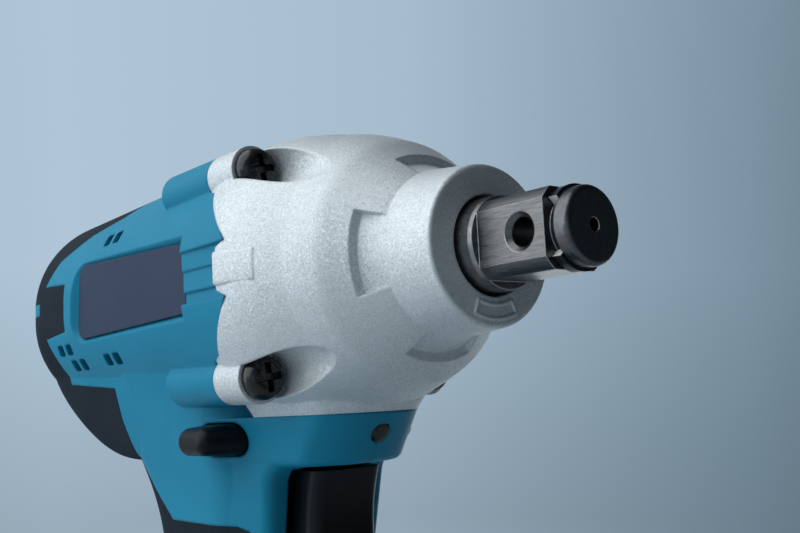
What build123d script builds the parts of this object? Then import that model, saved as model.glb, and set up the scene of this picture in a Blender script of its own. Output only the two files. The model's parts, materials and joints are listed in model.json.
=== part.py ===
from build123d import *
from math import atan2, cos, pi, radians, sin, sqrt, tan
import os

os.makedirs("parts", exist_ok=True)

# Lengths run along the drive axis from the nose face, forwards positive, and heights from the axis.
# The tool stands on its battery, with the origin under the middle of its outline.

# Clearances
RUN = 0.05  # radial clearance of a shaft in its bearing
FIT = 0.1  # clearance of a fixed piece in its seat
GAP = 0.3  # gap between pieces that move past each other

# Square drive and tip of the anvil
SQUARE_SIZE = 12.7
SQUARE_CORNER_RADIUS = 7.75
SQUARE_REAR = 3.3
SQUARE_LENGTH = 14.0
RING_GROOVE_WIDTH = 1.8
RING_GROOVE_RADIUS = 5.0
TIP_LENGTH = 2.55
TIP_RADIUS = 6.25
TIP_EDGE = 0.9
CENTRE_DRILL_RADIUS = 1.1
CENTRE_DRILL_DEPTH = 2.4
PIN_HOLE_RADIUS = 2.3
PIN_SINK_RADIUS = 3.15
PIN_HOLE_OFFSET = 8.95  # from the rear of the square
RING_RADIUS = 6.75
RING_HALF_GAP = 42.0  # degrees
JOURNAL_RADIUS = 7.95
JOURNAL_EDGE = 0.8

# Hammer case
NOSE_RADIUS = 13.75
NOSE_BASE_RADIUS = 14.9
NOSE_LENGTH = 10.2
NOSE_EDGE = 0.7
BORE_RADIUS = 8.6
BORE_LIP = 2.5
BUSH_LENGTH = 13.5
BUSH_WALL = 2.2
BUSH_SHOULDER = 1.0
DOME_MIDDLE = (-20.0, 22.1)
DOME_END = (-38.3, 26.6)
CASE_RADIUS = 27.3
SPIGOT_RADIUS = 25.0
SPIGOT_LENGTH = 5.0
CASE_INSIDE_RADIUS = 22.1
CASE_FRONT_RADIUS = 17.9
CASE_LIP_LENGTH = 2.5
CASE_LIP_FLARE = 0.5
CASE_CONE_LENGTH = 8.5
POCKET_LENGTH = 4.6
POCKET_DEPTH = 2.4
POCKET_HALF_ANGLE = 23.5  # degrees
BOSS_Y = 20.2
BOSS_Z = 19.1
BOSS_DROP = 0.3  # of the four bosses' middle below the drive axis
BOSS_RADIUS = 4.75
BOSS_FRONT = -40.5
CASE_BOSS_LENGTH = 9.0
HOUSING_BOSS_LENGTH = 19.8
BOSS_END_ROUND = 1.2
PAD_Z = -26.6
PAD_FRONT = -29.3
PAD_CORNER = (-35.5, 12.3)
PAD_SPREAD = 0.3  # growth of the half width for each mm behind the corner
PAD_ROUND = 6.0
PAD_FLARE = 35.0  # degrees, slope between the pad and the dome
PAD_FLARE_HEIGHT = 7.0
LUG_HEIGHT = 6.0
LUG_FRONT = -30.7
LUG_REAR = -39.6
LUG_FRONT_REACH = 27.1
LUG_REAR_REACH = 30.0
LUG_ROUND = 0.7
LUG_ROOM = 0.8
CREST_RADII = (9.6, 12.4)
CREST_HALF_ANGLE = 24.0  # degrees
CREST_BORDER = 0.45
CREST_LIFT = 0.25

# Case screws
SCREW_HEAD_RADIUS = 4.1
SCREW_HEAD_HEIGHT = 3.0
SCREW_HEAD_ROUND = 2.2
SCREW_RADIUS = 2.0
SCREW_LENGTH = 24.0
RECESS_WIDTH = 1.3
RECESS_SPAN = 5.4
RECESS_DEPTH = 1.9
RECESS_TURN = 8.0  # degrees

# Impact mechanism
WASHER_THICKNESS = 1.0
END_PLAY = 0.2
WING_THICKNESS = 7.5
WING_WIDTH = 12.0
WING_RADIUS = 17.3
PILOT_RADIUS = 4.5
PILOT_LENGTH = 6.0
HAMMER_GAP = 0.4
HAMMER_RADIUS = 21.6
HAMMER_LENGTH = 17.0
HAMMER_CHAMFER = 3.2
HAMMER_TRAVEL = 8.0
JAW_LENGTH = 7.0
JAW_INNER_RADIUS = 9.5
JAW_HALF_ANGLE = 30.0  # degrees
SPINDLE_RADIUS = 7.5
BALL_RADIUS = 2.5
SPRING_SEAT_DEPTH = 8.0
SPRING_WASHER = 1.0
SPRING_RADIUS = 15.2
WIRE_RADIUS = 1.25
HAMMER_SPRING_HALF_TURNS = 6
CARRIER_ROOM = 3.0
CARRIER_PLATE = 3.0
CARRIER_RADIUS = 17.3
PILLAR_RADIUS = 3.8

# Gears, bearings and gear case
GEAR_MODULE = 0.9
PRESSURE_ANGLE = 20.0  # degrees
SUN_TEETH = 12
PLANET_TEETH = 15
PLANET_WIDTH = 8.0
PLANET_PIN_RADIUS = 2.0
BACKLASH = 0.16
RING_WALL = 2.0
JOURNAL_WALL = 2.4
SPINDLE_BEARING_WALL = 4.0
SPINDLE_BEARING_WIDTH = 6.0
GEAR_CASE_WALL = 2.2

# Motor
SHAFT_RADIUS = 2.5
MOTOR_BEARING_RADIUS = 8.0
MOTOR_BEARING_WIDTH = 5.0
FAN_ROOM = 3.0
FAN_WIDTH = 7.0
FAN_RADIUS = 20.5
FAN_DISC = 1.5
FAN_BLADE = 1.2
FAN_BLADES = 9
FAN_BLADE_LEAN = 20.0  # degrees
STATOR_RADIUS = 21.4
STATOR_LENGTH = 31.0
STATOR_YOKE = 3.0
STATOR_TEETH = 6
STATOR_TOOTH = 6.0
ROTOR_RADIUS = 11.3
ROTOR_POLES = 4
MAGNET_RADIUS = 7.8
MAGNET_LENGTH = 8.0
MAGNET_WIDTH = 2.0
AIR_GAP = 0.5
COIL_WIDTH = 2.4
COIL_OVERHANG = 2.0
BOARD_THICKNESS = 1.6
REAR_ROOM = 2.0

# Housing barrel
BODY_LENGTH = 151.5
BARREL_HALF_WIDTH = 29.4
BARREL_HALF_HEIGHT = 26.6
BARREL_CORNER = 25.0
BARREL_TAPER = 1.2  # degrees
BARREL_END_ROUND = 22.0
BARREL_BORE = 24.1
MOTOR_BORE = 21.6
SEAM_FRONT = -37.2
SEAM_TONGUE_HALF_HEIGHT = 5.0
SEAM_SHOULDER = (-45.5, 15.0)  # length, half height
SEAM_WIDE_HALF_HEIGHT = 16.0

# Name plate, ridges and vents
PLATE_CORNERS = ((-54.0, 6.9), (-54.0, -6.5), (-108.7, -7.7), (-107.0, 9.2))
PLATE_ROUND = 3.5
PLATE_FLOOR = 28.1  # distance from the middle, carried on to the nose along the barrel's taper
PLATE_THICKNESS = 0.8
PLATE_BEVEL = 3.0
RIDGES = ((4.8, 1.2, 28.4), (1.2, -2.8, 28.1), (-2.8, -5.0, 27.7))  # top, bottom, distance from the middle
VENTS = ((-92.0, 13.5), (-92.5, -12.9), (-112.0, -13.2), (-117.0, -9.5))
VENT_LENGTH = 3.4
VENT_HEIGHT = 2.6
VENT_ROUND = 0.6
VENT_PITCH = 5.0

# Joining screws
JOIN_HEAD_RADIUS = 2.9
JOIN_HEAD_HEIGHT = 2.2
JOIN_RADIUS = 1.45
JOIN_LENGTH = 14.0
POST_RADIUS = 3.8
WIRE_PASSAGE = (-85.0, -72.0, 6.0, -30.0, -20.0)  # rear, front, half width, lower and upper height

# Work light, reversing lever, trigger and switch
LED_PLACE = (-31.9, -30.6)
LED_RADIUS = 2.1
LED_DEPTH = 4.2
LENS_SINK = 0.5
LENS_LENGTH = 2.2
LEVER_FRONT = -52.2
LEVER_REAR = -63.7
LEVER_HEIGHT = -30.7
LEVER_THICKNESS = 6.0
LEVER_STRAIGHT = 20.0  # half length of the bar between the knobs
LEVER_END = 26.0
LEVER_TAPER = 5.0  # degrees
LEVER_ROUND = 2.2
TRIGGER_HALF_WIDTH = 7.8
TRIGGER_ROOM = 1.6  # space beside the trigger
TRIGGER_TOP = -37.2
TRIGGER_BOTTOM = -64.5
TRIGGER_REAR = -63.0
TRIGGER_HIGH_FRONT = (-40.8, -37.2)
TRIGGER_MIDDLE_FRONT = (-43.5, -50.0)
TRIGGER_LOW_FRONT = (-41.0, -62.5)
TRIGGER_ROUND = 3.0
TRIGGER_TRAVEL = 6.5
TRIGGER_SPRING_HEIGHT = -50.0
TRIGGER_SPRING_RADIUS = 4.0
TRIGGER_SPRING_DEPTH = 12.0
TRIGGER_WIRE = 0.5
SMALL_SPRING_HALF_TURNS = 10
SWITCH_LENGTH = 20.0
SWITCH_HALF_WIDTH = 11.0
SWITCH_TOP = -38.2
SWITCH_BOTTOM = -61.5
SWITCH_EDGE = 1.0

# Chin, handle and foot
CHIN_DROP = 9.6
CHIN_RAKE = 6.2
CHIN_REAR = -63.0
CHIN_ROUND = 2.0
COLLAR_TOP = -33.0
COLLAR_BOTTOM = -95.0
COLLAR_LENGTHS = (-44.0, -60.0, -75.0)
COLLAR_TOP_WIDTHS = (13.4, 18.0, 15.0)  # half widths at these lengths
COLLAR_BOTTOM_WIDTHS = (6.0, 11.0, 9.0)
COLLAR_FRONT = -49.4
COLLAR_FOOT = -58.0
COLLAR_CORNER = 4.0  # between the chin and the collar
COLLAR_ROUND = 2.5
WALL = 2.6
RUBBER = 1.0
REAR_WINDOW = (-138.0, -130.5, BARREL_HALF_WIDTH, -0.2, 2.8)  # rear, front, half width, lower, upper height
HANDLE_DROP = 112.0
FOOT_HEIGHT = 18.0
FOOT_FRONT = -22.0
FOOT_REAR = -118.0
FOOT_HALF_WIDTH = 36.0
FOOT_CORNER = 14.0
FOOT_GROOVE_HEIGHT = 5.0  # of the groove above the foot's lower edge
GROOVE_DEPTH = 0.8
GROOVE_WIDTH = 1.2

# Battery
PACK_HEIGHT = 61.6
PACK_FRONT = -8.0
PACK_REAR = -120.0
PACK_HALF_WIDTH = 37.0
SLIDE_GAP = 0.4
PACK_UPPER_HEIGHT = 18.6
PACK_CORNER = 9.0
PACK_EDGE = 4.0
RIB_PITCH = 4.5
RIB_GAP = 1.8
RIB_COUNT = 6
RIB_HEIGHT = 24.0
RIB_FRONT = -26.0
CELL_RADIUS = 9.2
CELL_LENGTH = 65.0
CELLS_IN_ROW = 5
RAIL_FRONT = -32.0
CHANNEL_REAR = -110.0
CHANNEL_HALF_WIDTH = 27.0
CHANNEL_TOP = -6.0 - HANDLE_DROP
FLOOR_TOP = CHANNEL_TOP + 2.5
LIP_TOP = CHANNEL_TOP - 8.0
LIP_HALF_WIDTH = 23.0
BLOCK_LENGTHS = (-104.0, -80.0)
BLOCK_HALF_WIDTH = 13.0
BLOCK_RISE = 1.0
BLADE_Y = 8.0
BLADE_LENGTH = 16.0
BLADE_THICKNESS = 0.8
BLADE_HEIGHT = 6.5
CONTACT_THICKNESS = 0.8
CONTACT_ROOM = 1.0
CONTACT_LENGTH = 12.0
CONTROLLER_LENGTHS = (-78.0, -47.0)
CONTROLLER_HALF_WIDTH = 18.0
CONTROLLER_HEIGHT = 7.0
CONTROLLER_EDGE = 2.0
BUTTON_REAR = -29.0
BUTTON_HALF_WIDTH = 13.0
BUTTON_TRAVEL = 4.0
BUTTON_EDGE = 2.0
TONGUE_THICKNESS = 3.0
TONGUE_HALF_WIDTH = 8.0
TONGUE_RISE = 3.0
LATCH_SPRING_RADIUS = 3.5
LATCH_SPRING_DEPTH = 7.0
LATCH_WIRE = 0.5

# Placing of the tool over its base
TIP = SQUARE_REAR + SQUARE_LENGTH + RING_GROOVE_WIDTH + TIP_LENGTH
NOSE_X = (BODY_LENGTH - TIP) / 2
AXIS_Z = HANDLE_DROP + FOOT_HEIGHT + SLIDE_GAP + PACK_HEIGHT
DRIVE_AXIS = Axis((NOSE_X, 0, AXIS_Z), (1, 0, 0))


def around(angle):
    """Plane that holds the drive axis, turned about it, with (length, radius) coordinates."""
    a = radians(angle)
    return Plane(origin=(NOSE_X, 0, AXIS_Z), x_dir=(1, 0, 0), z_dir=(0, -cos(a), -sin(a)))


def across(length):
    """Plane square to the drive axis, with (Y, height) coordinates, facing forwards."""
    return Plane(origin=(NOSE_X + length, 0, AXIS_Z), x_dir=(0, 1, 0), z_dir=(1, 0, 0))


def boss_plane(length):
    """Plane square to the drive axis with its origin in the middle of the four bosses."""
    return Plane(origin=(NOSE_X + length, 0, AXIS_Z - BOSS_DROP), x_dir=(0, 1, 0), z_dir=(1, 0, 0))


def level(height):
    """Horizontal plane with (length, Y) coordinates."""
    return Plane(origin=(NOSE_X, 0, AXIS_Z + height), x_dir=(1, 0, 0), z_dir=(0, 0, 1))


def outline(*points, plane=None):
    """Flat face with straight sides, on the upright middle plane if no other is named."""
    with BuildSketch(plane or around(0)) as face:
        with BuildLine():
            Polyline(*points, close=True)
        make_face()
    return face.sketch


# Hammer case, first as a full blank that the housing is fitted to
SEAM_REAR = BOSS_FRONT - CASE_BOSS_LENGTH
SPIGOT_REAR = SEAM_REAR - SPIGOT_LENGTH
BUSH_REAR = -BORE_LIP - BUSH_LENGTH
CASE_FRONT = BUSH_REAR - BUSH_SHOULDER
BUSH_RADIUS = JOURNAL_RADIUS + RUN + BUSH_WALL
BOSS_SPACING = (2 * BOSS_Y, 2 * BOSS_Z, 2, 2)
CASE_SECTIONS = (
    # length, half width, half height and corner radius where the round dome turns into the barrel's shape
    (SEAM_REAR, 28.85, 26.3, 24.8),
    (SEAM_FRONT, 29.1, 26.5, 24.9),
    (-33.5, 28.1, 26.1, 25.2),
    (-30.0, 26.6, 25.4, 24.9),
    (-25.0, 24.2, 24.1, 24.0),
)


def pad_outline(height, front_shift, rear):
    """Rounded plan shape that the case pad and the chin share, from its front back to a length."""
    with BuildSketch(level(height)) as plan:
        corner_x = PAD_CORNER[0] + front_shift
        rear_half_width = PAD_CORNER[1] + PAD_SPREAD * (corner_x - rear)
        with BuildLine():
            Polyline((corner_x, -PAD_CORNER[1]), (rear, -rear_half_width),
                     (rear, rear_half_width), (corner_x, PAD_CORNER[1]))
            ThreePointArc((corner_x, PAD_CORNER[1]), (PAD_FRONT + front_shift, 0), (corner_x, -PAD_CORNER[1]))
        make_face()
        fillet(plan.vertices().group_by(Axis.X)[-1], PAD_ROUND)
    return plan.sketch


with BuildPart() as seam_space:
    # Everything behind the wavy seam, seen from the side
    with BuildSketch(around(0)):
        with BuildLine():
            Polyline((SEAM_FRONT, SEAM_TONGUE_HALF_HEIGHT), (LUG_REAR, LUG_HEIGHT / 2 + LUG_ROOM),
                     (LUG_REAR, -LUG_HEIGHT / 2 - LUG_ROOM), (SEAM_FRONT, -SEAM_TONGUE_HALF_HEIGHT),
                     (SEAM_SHOULDER[0], -SEAM_SHOULDER[1]),
                     (SEAM_REAR, -SEAM_WIDE_HALF_HEIGHT), (SEAM_REAR, -2 * BODY_LENGTH),
                     (-2 * BODY_LENGTH, -2 * BODY_LENGTH), (-2 * BODY_LENGTH, 2 * BODY_LENGTH),
                     (SEAM_REAR, 2 * BODY_LENGTH), (SEAM_REAR, SEAM_WIDE_HALF_HEIGHT), SEAM_SHOULDER,
                     close=True)
        make_face()
    extrude(amount=BODY_LENGTH, both=True)

with BuildPart() as seam_ring:
    add(seam_space.part)
    with BuildSketch(across(0)):
        Circle(SPIGOT_RADIUS)
    extrude(amount=-BODY_LENGTH, mode=Mode.SUBTRACT)

with BuildPart() as side_lugs:
    with BuildSketch(level(0)):
        with BuildLine():
            Polyline((LUG_REAR, -LUG_REAR_REACH), (LUG_FRONT, -LUG_FRONT_REACH),
                     (LUG_FRONT, LUG_FRONT_REACH), (LUG_REAR, LUG_REAR_REACH), close=True)
        make_face()
    extrude(amount=LUG_HEIGHT / 2, both=True)
    lug_faces = side_lugs.faces().sort_by(Axis.Y)
    fillet(lug_faces[0].edges() + lug_faces[-1].edges(), LUG_ROUND)

with BuildPart() as case_blank:
    with BuildSketch(around(0)):
        with BuildLine():
            Polyline((0, 0), (0, NOSE_RADIUS), (-NOSE_LENGTH, NOSE_BASE_RADIUS))
            ThreePointArc((-NOSE_LENGTH, NOSE_BASE_RADIUS), DOME_MIDDLE, DOME_END)
            Polyline(DOME_END, (SEAM_REAR, CASE_RADIUS), (SEAM_REAR, SPIGOT_RADIUS),
                     (SPIGOT_REAR, SPIGOT_RADIUS), (SPIGOT_REAR, 0), (0, 0))
        make_face()
    revolve(axis=DRIVE_AXIS)
    with BuildSketch(boss_plane(SEAM_REAR)):
        with GridLocations(*BOSS_SPACING):
            Circle(BOSS_RADIUS)
    extrude(amount=CASE_BOSS_LENGTH)
    case_faces = []
    for length, half_width, half_height, corner in CASE_SECTIONS:
        with BuildSketch(across(length)) as case_face:
            RectangleRounded(2 * half_width, 2 * half_height, corner)
        case_faces.append(case_face.sketch)
    loft(case_faces)
    extrude(pad_outline(PAD_Z, 0, SEAM_REAR), amount=-PAD_Z / 2)
    extrude(pad_outline(PAD_Z, 0, SEAM_REAR), amount=PAD_FLARE_HEIGHT, taper=-PAD_FLARE)
    add(seam_ring.part, mode=Mode.SUBTRACT)
    add(side_lugs.part)

with BuildPart() as hammer_case:
    add(case_blank.part)
    # Channels that let a screwdriver reach the four screws
    with BuildSketch(boss_plane(BOSS_FRONT)):
        with GridLocations(*BOSS_SPACING):
            Circle(BOSS_RADIUS)
    extrude(amount=-BOSS_FRONT, mode=Mode.SUBTRACT)
    with BuildSketch(boss_plane(SEAM_REAR)):
        with GridLocations(*BOSS_SPACING):
            Circle(SCREW_RADIUS + FIT)
    extrude(amount=CASE_BOSS_LENGTH, mode=Mode.SUBTRACT)
    # Shallow pockets where the dome meets the nose
    for quarter in range(4):
        pocket = outline(
            (-NOSE_LENGTH, NOSE_BASE_RADIUS),
            (-NOSE_LENGTH - POCKET_LENGTH, NOSE_BASE_RADIUS + POCKET_LENGTH - POCKET_DEPTH),
            (-NOSE_LENGTH - POCKET_LENGTH, CASE_RADIUS), (-NOSE_LENGTH, CASE_RADIUS),
            plane=around(90 * quarter - POCKET_HALF_ANGLE))
        revolve(pocket, axis=DRIVE_AXIS, revolution_arc=2 * POCKET_HALF_ANGLE, mode=Mode.SUBTRACT)
    fillet(hammer_case.faces().sort_by(Axis.X)[-1].edges(), NOSE_EDGE)
    # Bore, bush seat and hammer room
    revolve(outline((0, 0), (0, BORE_RADIUS), (-BORE_LIP, BORE_RADIUS), (-BORE_LIP, BUSH_RADIUS),
                    (CASE_FRONT, BUSH_RADIUS), (CASE_FRONT, CASE_FRONT_RADIUS),
                    (CASE_FRONT - CASE_LIP_LENGTH, CASE_FRONT_RADIUS + CASE_LIP_FLARE),
                    (CASE_FRONT - CASE_CONE_LENGTH, CASE_INSIDE_RADIUS),
                    (SPIGOT_REAR, CASE_INSIDE_RADIUS), (SPIGOT_REAR, 0)),
            axis=DRIVE_AXIS, mode=Mode.SUBTRACT)
    # Bare fan-shaped frame on the nose, below the bore
    fan_side = 2 * CREST_RADII[1] * tan(radians(CREST_HALF_ANGLE))
    with BuildSketch(across(0)):
        with BuildLine():
            Polyline((0, 0), (-fan_side, -2 * CREST_RADII[1]), (fan_side, -2 * CREST_RADII[1]), close=True)
        make_face()
        Circle(CREST_RADII[1], mode=Mode.INTERSECT)
        Circle(CREST_RADII[0], mode=Mode.SUBTRACT)
        offset(amount=-CREST_BORDER, mode=Mode.SUBTRACT)
    extrude(amount=CREST_LIFT)
hammer_case.part.label = "hammer_case"
export_step(hammer_case.part, "parts/hammer_case.step")


# Stations of the impact mechanism, from the front to the back
WASHER_REAR = CASE_FRONT - WASHER_THICKNESS
WING_FRONT = WASHER_REAR - END_PLAY
WING_REAR = WING_FRONT - WING_THICKNESS
HAMMER_FRONT = WING_REAR - HAMMER_GAP
HAMMER_REAR = HAMMER_FRONT - HAMMER_LENGTH
SPRING_SEAT = HAMMER_FRONT - SPRING_SEAT_DEPTH
CARRIER_FRONT = HAMMER_REAR - HAMMER_TRAVEL - CARRIER_ROOM
PLANET_FRONT = CARRIER_FRONT - CARRIER_PLATE - GAP
PLANET_REAR = PLANET_FRONT - PLANET_WIDTH
CARRIER_REAR_FACE = PLANET_REAR - GAP
CARRIER_REAR = CARRIER_REAR_FACE - CARRIER_PLATE
BEARING_REAR = CARRIER_REAR - GAP - SPINDLE_BEARING_WIDTH

with BuildPart() as anvil_bush:
    revolve(outline((-BORE_LIP - FIT, JOURNAL_RADIUS + RUN), (-BORE_LIP - FIT, BUSH_RADIUS),
                    (BUSH_REAR, BUSH_RADIUS), (BUSH_REAR, JOURNAL_RADIUS + RUN)), axis=DRIVE_AXIS)
anvil_bush.part.label = "anvil_bush"
export_step(anvil_bush.part, "parts/anvil_bush.step")

with BuildPart() as thrust_washer:
    revolve(outline((CASE_FRONT, JOURNAL_RADIUS + GAP), (CASE_FRONT, CASE_FRONT_RADIUS - GAP),
                    (WASHER_REAR, CASE_FRONT_RADIUS - GAP), (WASHER_REAR, JOURNAL_RADIUS + GAP)),
            axis=DRIVE_AXIS)
thrust_washer.part.label = "thrust_washer"
export_step(thrust_washer.part, "parts/thrust_washer.step")

with BuildPart() as anvil:
    revolve(outline((WING_REAR, 0), (TIP, 0), (TIP, TIP_RADIUS), (TIP - TIP_LENGTH, TIP_RADIUS),
                    (TIP - TIP_LENGTH, RING_GROOVE_RADIUS), (SQUARE_REAR + SQUARE_LENGTH, RING_GROOVE_RADIUS),
                    (SQUARE_REAR + SQUARE_LENGTH, SQUARE_CORNER_RADIUS), (SQUARE_REAR, SQUARE_CORNER_RADIUS),
                    (SQUARE_REAR - JOURNAL_EDGE, JOURNAL_RADIUS), (WING_REAR, JOURNAL_RADIUS)),
            axis=DRIVE_AXIS)
    fillet(anvil.faces().sort_by(Axis.X)[-1].edges(), TIP_EDGE)
    # Flats of the square, left by cutting away the round
    with BuildSketch(across(SQUARE_REAR)):
        Circle(2 * SQUARE_CORNER_RADIUS)
        Rectangle(SQUARE_SIZE, SQUARE_SIZE, mode=Mode.SUBTRACT)
    extrude(amount=SQUARE_LENGTH, mode=Mode.SUBTRACT)
    for side in (-1, 1):
        hole_x = NOSE_X + SQUARE_REAR + PIN_HOLE_OFFSET
        with Locations(Plane(origin=(hole_x, side * SQUARE_SIZE / 2, AXIS_Z), z_dir=(0, side, 0))):
            CounterSinkHole(radius=PIN_HOLE_RADIUS, counter_sink_radius=PIN_SINK_RADIUS,
                            depth=SQUARE_SIZE / 2 + FIT, counter_sink_angle=90)
    drill_end = TIP - CENTRE_DRILL_DEPTH
    revolve(outline((TIP, 0), (TIP, CENTRE_DRILL_RADIUS), (drill_end, CENTRE_DRILL_RADIUS),
                    (drill_end - CENTRE_DRILL_RADIUS, 0)), axis=DRIVE_AXIS, mode=Mode.SUBTRACT)
    # Two wings that the hammer strikes, and the bore for the spindle's pilot
    with BuildSketch(across(WING_REAR)):
        Circle(WING_RADIUS)
        Rectangle(WING_WIDTH, 2 * WING_RADIUS, mode=Mode.INTERSECT)
    extrude(amount=WING_THICKNESS)
    with BuildSketch(across(WING_REAR)):
        Circle(PILOT_RADIUS + RUN)
    extrude(amount=PILOT_LENGTH + GAP, mode=Mode.SUBTRACT)
anvil.part.label = "anvil"
export_step(anvil.part, "parts/anvil.step")

with BuildPart() as friction_ring:
    ring_rear = SQUARE_REAR + SQUARE_LENGTH + FIT
    ring_front = ring_rear + RING_GROOVE_WIDTH - 2 * FIT
    revolve(outline((ring_rear, RING_GROOVE_RADIUS + FIT), (ring_front, RING_GROOVE_RADIUS + FIT),
                    (ring_front, RING_RADIUS), (ring_rear, RING_RADIUS)), axis=DRIVE_AXIS)
    gap_height = 2 * RING_RADIUS * tan(radians(RING_HALF_GAP))
    gap_reach = -2 * RING_RADIUS
    ring_gap = outline((0, 0), (gap_reach, gap_height), (gap_reach, -gap_height), plane=across(0))
    extrude(ring_gap, amount=TIP, mode=Mode.SUBTRACT)
friction_ring.part.label = "friction_ring"
export_step(friction_ring.part, "parts/friction_ring.step")

with BuildPart() as hammer:
    revolve(outline((HAMMER_REAR, SPINDLE_RADIUS + RUN), (HAMMER_FRONT, SPINDLE_RADIUS + RUN),
                    (HAMMER_FRONT, HAMMER_RADIUS - HAMMER_CHAMFER),
                    (HAMMER_FRONT - HAMMER_CHAMFER, HAMMER_RADIUS), (HAMMER_REAR, HAMMER_RADIUS),
                    (HAMMER_REAR, SPRING_RADIUS + WIRE_RADIUS + GAP),
                    (SPRING_SEAT, SPRING_RADIUS + WIRE_RADIUS + GAP),
                    (SPRING_SEAT, SPRING_RADIUS - WIRE_RADIUS - GAP),
                    (HAMMER_REAR, SPRING_RADIUS - WIRE_RADIUS - GAP)), axis=DRIVE_AXIS)
    # Two striking jaws between the anvil's wings
    for turn in (90, 270):
        jaw = outline((HAMMER_FRONT, JAW_INNER_RADIUS), (HAMMER_FRONT, WING_RADIUS),
                      (HAMMER_FRONT + JAW_LENGTH, WING_RADIUS), (HAMMER_FRONT + JAW_LENGTH, JAW_INNER_RADIUS),
                      plane=around(turn - JAW_HALF_ANGLE))
        revolve(jaw, axis=DRIVE_AXIS, revolution_arc=2 * JAW_HALF_ANGLE)
    # Ball grooves along the bore and the jaws
    with BuildSketch(across(HAMMER_REAR)):
        Rectangle(2 * (SPINDLE_RADIUS + BALL_RADIUS + GAP), 2 * (BALL_RADIUS + GAP))
        Circle(SPINDLE_RADIUS, mode=Mode.SUBTRACT)
    extrude(amount=HAMMER_LENGTH + JAW_LENGTH, mode=Mode.SUBTRACT)
hammer.part.label = "hammer"
export_step(hammer.part, "parts/hammer.step")

BALL_AT = (HAMMER_FRONT + HAMMER_REAR) / 2
with BuildPart() as cam_balls:
    with Locations(*[across(BALL_AT) * Pos(side * SPINDLE_RADIUS, 0, 0) for side in (-1, 1)]):
        Sphere(BALL_RADIUS)
cam_balls.part.label = "cam_balls"
export_step(cam_balls.part, "parts/cam_balls.step")

with BuildPart() as spring_washer:
    revolve(outline((SPRING_SEAT, SPRING_RADIUS - WIRE_RADIUS), (SPRING_SEAT, SPRING_RADIUS + WIRE_RADIUS),
                    (SPRING_SEAT - SPRING_WASHER, SPRING_RADIUS + WIRE_RADIUS),
                    (SPRING_SEAT - SPRING_WASHER, SPRING_RADIUS - WIRE_RADIUS)), axis=DRIVE_AXIS)
spring_washer.part.label = "spring_washer"
export_step(spring_washer.part, "parts/spring_washer.step")


def coil_path(plane, length, radius, half_turns):
    """Points and tangents of a helix on a plane's normal, one for each half turn."""
    rise = length / half_turns
    slope = rise / pi
    ends = []
    for step in range(half_turns + 1):
        angle = step * pi
        point = plane.from_local_coords((radius * cos(angle), radius * sin(angle), rise * step))
        ahead = plane.from_local_coords((radius * cos(angle) - radius * sin(angle),
                                         radius * sin(angle) + radius * cos(angle), rise * step + slope))
        ends.append((point, (ahead - point).normalized()))
    return ends


def coil(plane, length, radius, wire, half_turns):
    """Open wire spring made of two tangent arcs for each half turn."""
    with BuildPart() as spring:
        ends = coil_path(plane, length, radius, half_turns)
        with BuildLine() as path:
            for (start, lead), (stop, trail) in zip(ends, ends[1:]):
                span = stop - start
                both = span.dot(lead + trail)
                open_angle = 2 * (1 - lead.dot(trail))
                reach = (sqrt(both * both + open_angle * span.dot(span)) - both) / open_angle
                middle = (start + stop + (lead - trail) * reach) * 0.5
                turn = (stop - trail * reach) - (start + lead * reach)
                TangentArc(start, middle, tangent=lead)
                TangentArc(middle, stop, tangent=turn)
        with BuildSketch(Plane(origin=ends[0][0], z_dir=ends[0][1])):
            RegularPolygon(radius=wire, side_count=6)
        sweep(path=path.line)
    return spring.part


with BuildPart() as hammer_spring:
    spring_room = SPRING_SEAT - SPRING_WASHER - CARRIER_FRONT - 2 * WIRE_RADIUS - 2 * FIT
    spring_foot = across(CARRIER_FRONT + WIRE_RADIUS + FIT)
    add(coil(spring_foot, spring_room, SPRING_RADIUS - FIT, WIRE_RADIUS, HAMMER_SPRING_HALF_TURNS))
hammer_spring.part.label = "hammer_spring"
export_step(hammer_spring.part, "parts/hammer_spring.step")


# Planetary gear train: the pinion drives three planets inside a fixed ring
SUN_PITCH = GEAR_MODULE * SUN_TEETH / 2
PLANET_PITCH = GEAR_MODULE * PLANET_TEETH / 2
RING_TEETH = SUN_TEETH + 2 * PLANET_TEETH
RING_PITCH = GEAR_MODULE * RING_TEETH / 2
PLANET_ORBIT = SUN_PITCH + PLANET_PITCH
PLANET_TURNS = (0, 120, 240)


def tooth_points(teeth, addendum, dedendum, slack):
    """Corners of a whole gear outline with its first tooth towards +X and straight-sided flanks."""
    pitch_radius = GEAR_MODULE * teeth / 2
    base_radius = pitch_radius * cos(radians(PRESSURE_ANGLE))
    pitch_involute = tan(radians(PRESSURE_ANGLE)) - radians(PRESSURE_ANGLE)
    half_teeth = []
    for radius in (pitch_radius - dedendum, pitch_radius, pitch_radius + addendum):
        roll = sqrt(max(radius * radius - base_radius * base_radius, 0)) / base_radius
        involute = roll - atan2(roll, 1)
        half = pi / (2 * teeth) - slack / (2 * pitch_radius) + pitch_involute - involute
        half_teeth.append((radius, half))
    points = []
    for tooth in range(teeth):
        centre = 2 * pi * tooth / teeth
        for radius, half in half_teeth:
            points.append((radius * cos(centre - half), radius * sin(centre - half)))
        for radius, half in reversed(half_teeth):
            points.append((radius * cos(centre + half), radius * sin(centre + half)))
    return points


def gear_face(plane, points, turn):
    """Gear outline on a plane, turned so that its first tooth points away from the drive axis."""
    a = radians(turn)
    turned = [(y * cos(a) - z * sin(a), y * sin(a) + z * cos(a)) for y, z in points]
    return outline(*turned, plane=plane)


def planet_plane(length, turn):
    """Plane square to the axis of the planet that stands at this turn round the drive axis."""
    a = radians(turn)
    centre = (NOSE_X + length, PLANET_ORBIT * cos(a), AXIS_Z + PLANET_ORBIT * sin(a))
    return Plane(origin=centre, x_dir=(0, 1, 0), z_dir=(1, 0, 0))


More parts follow.
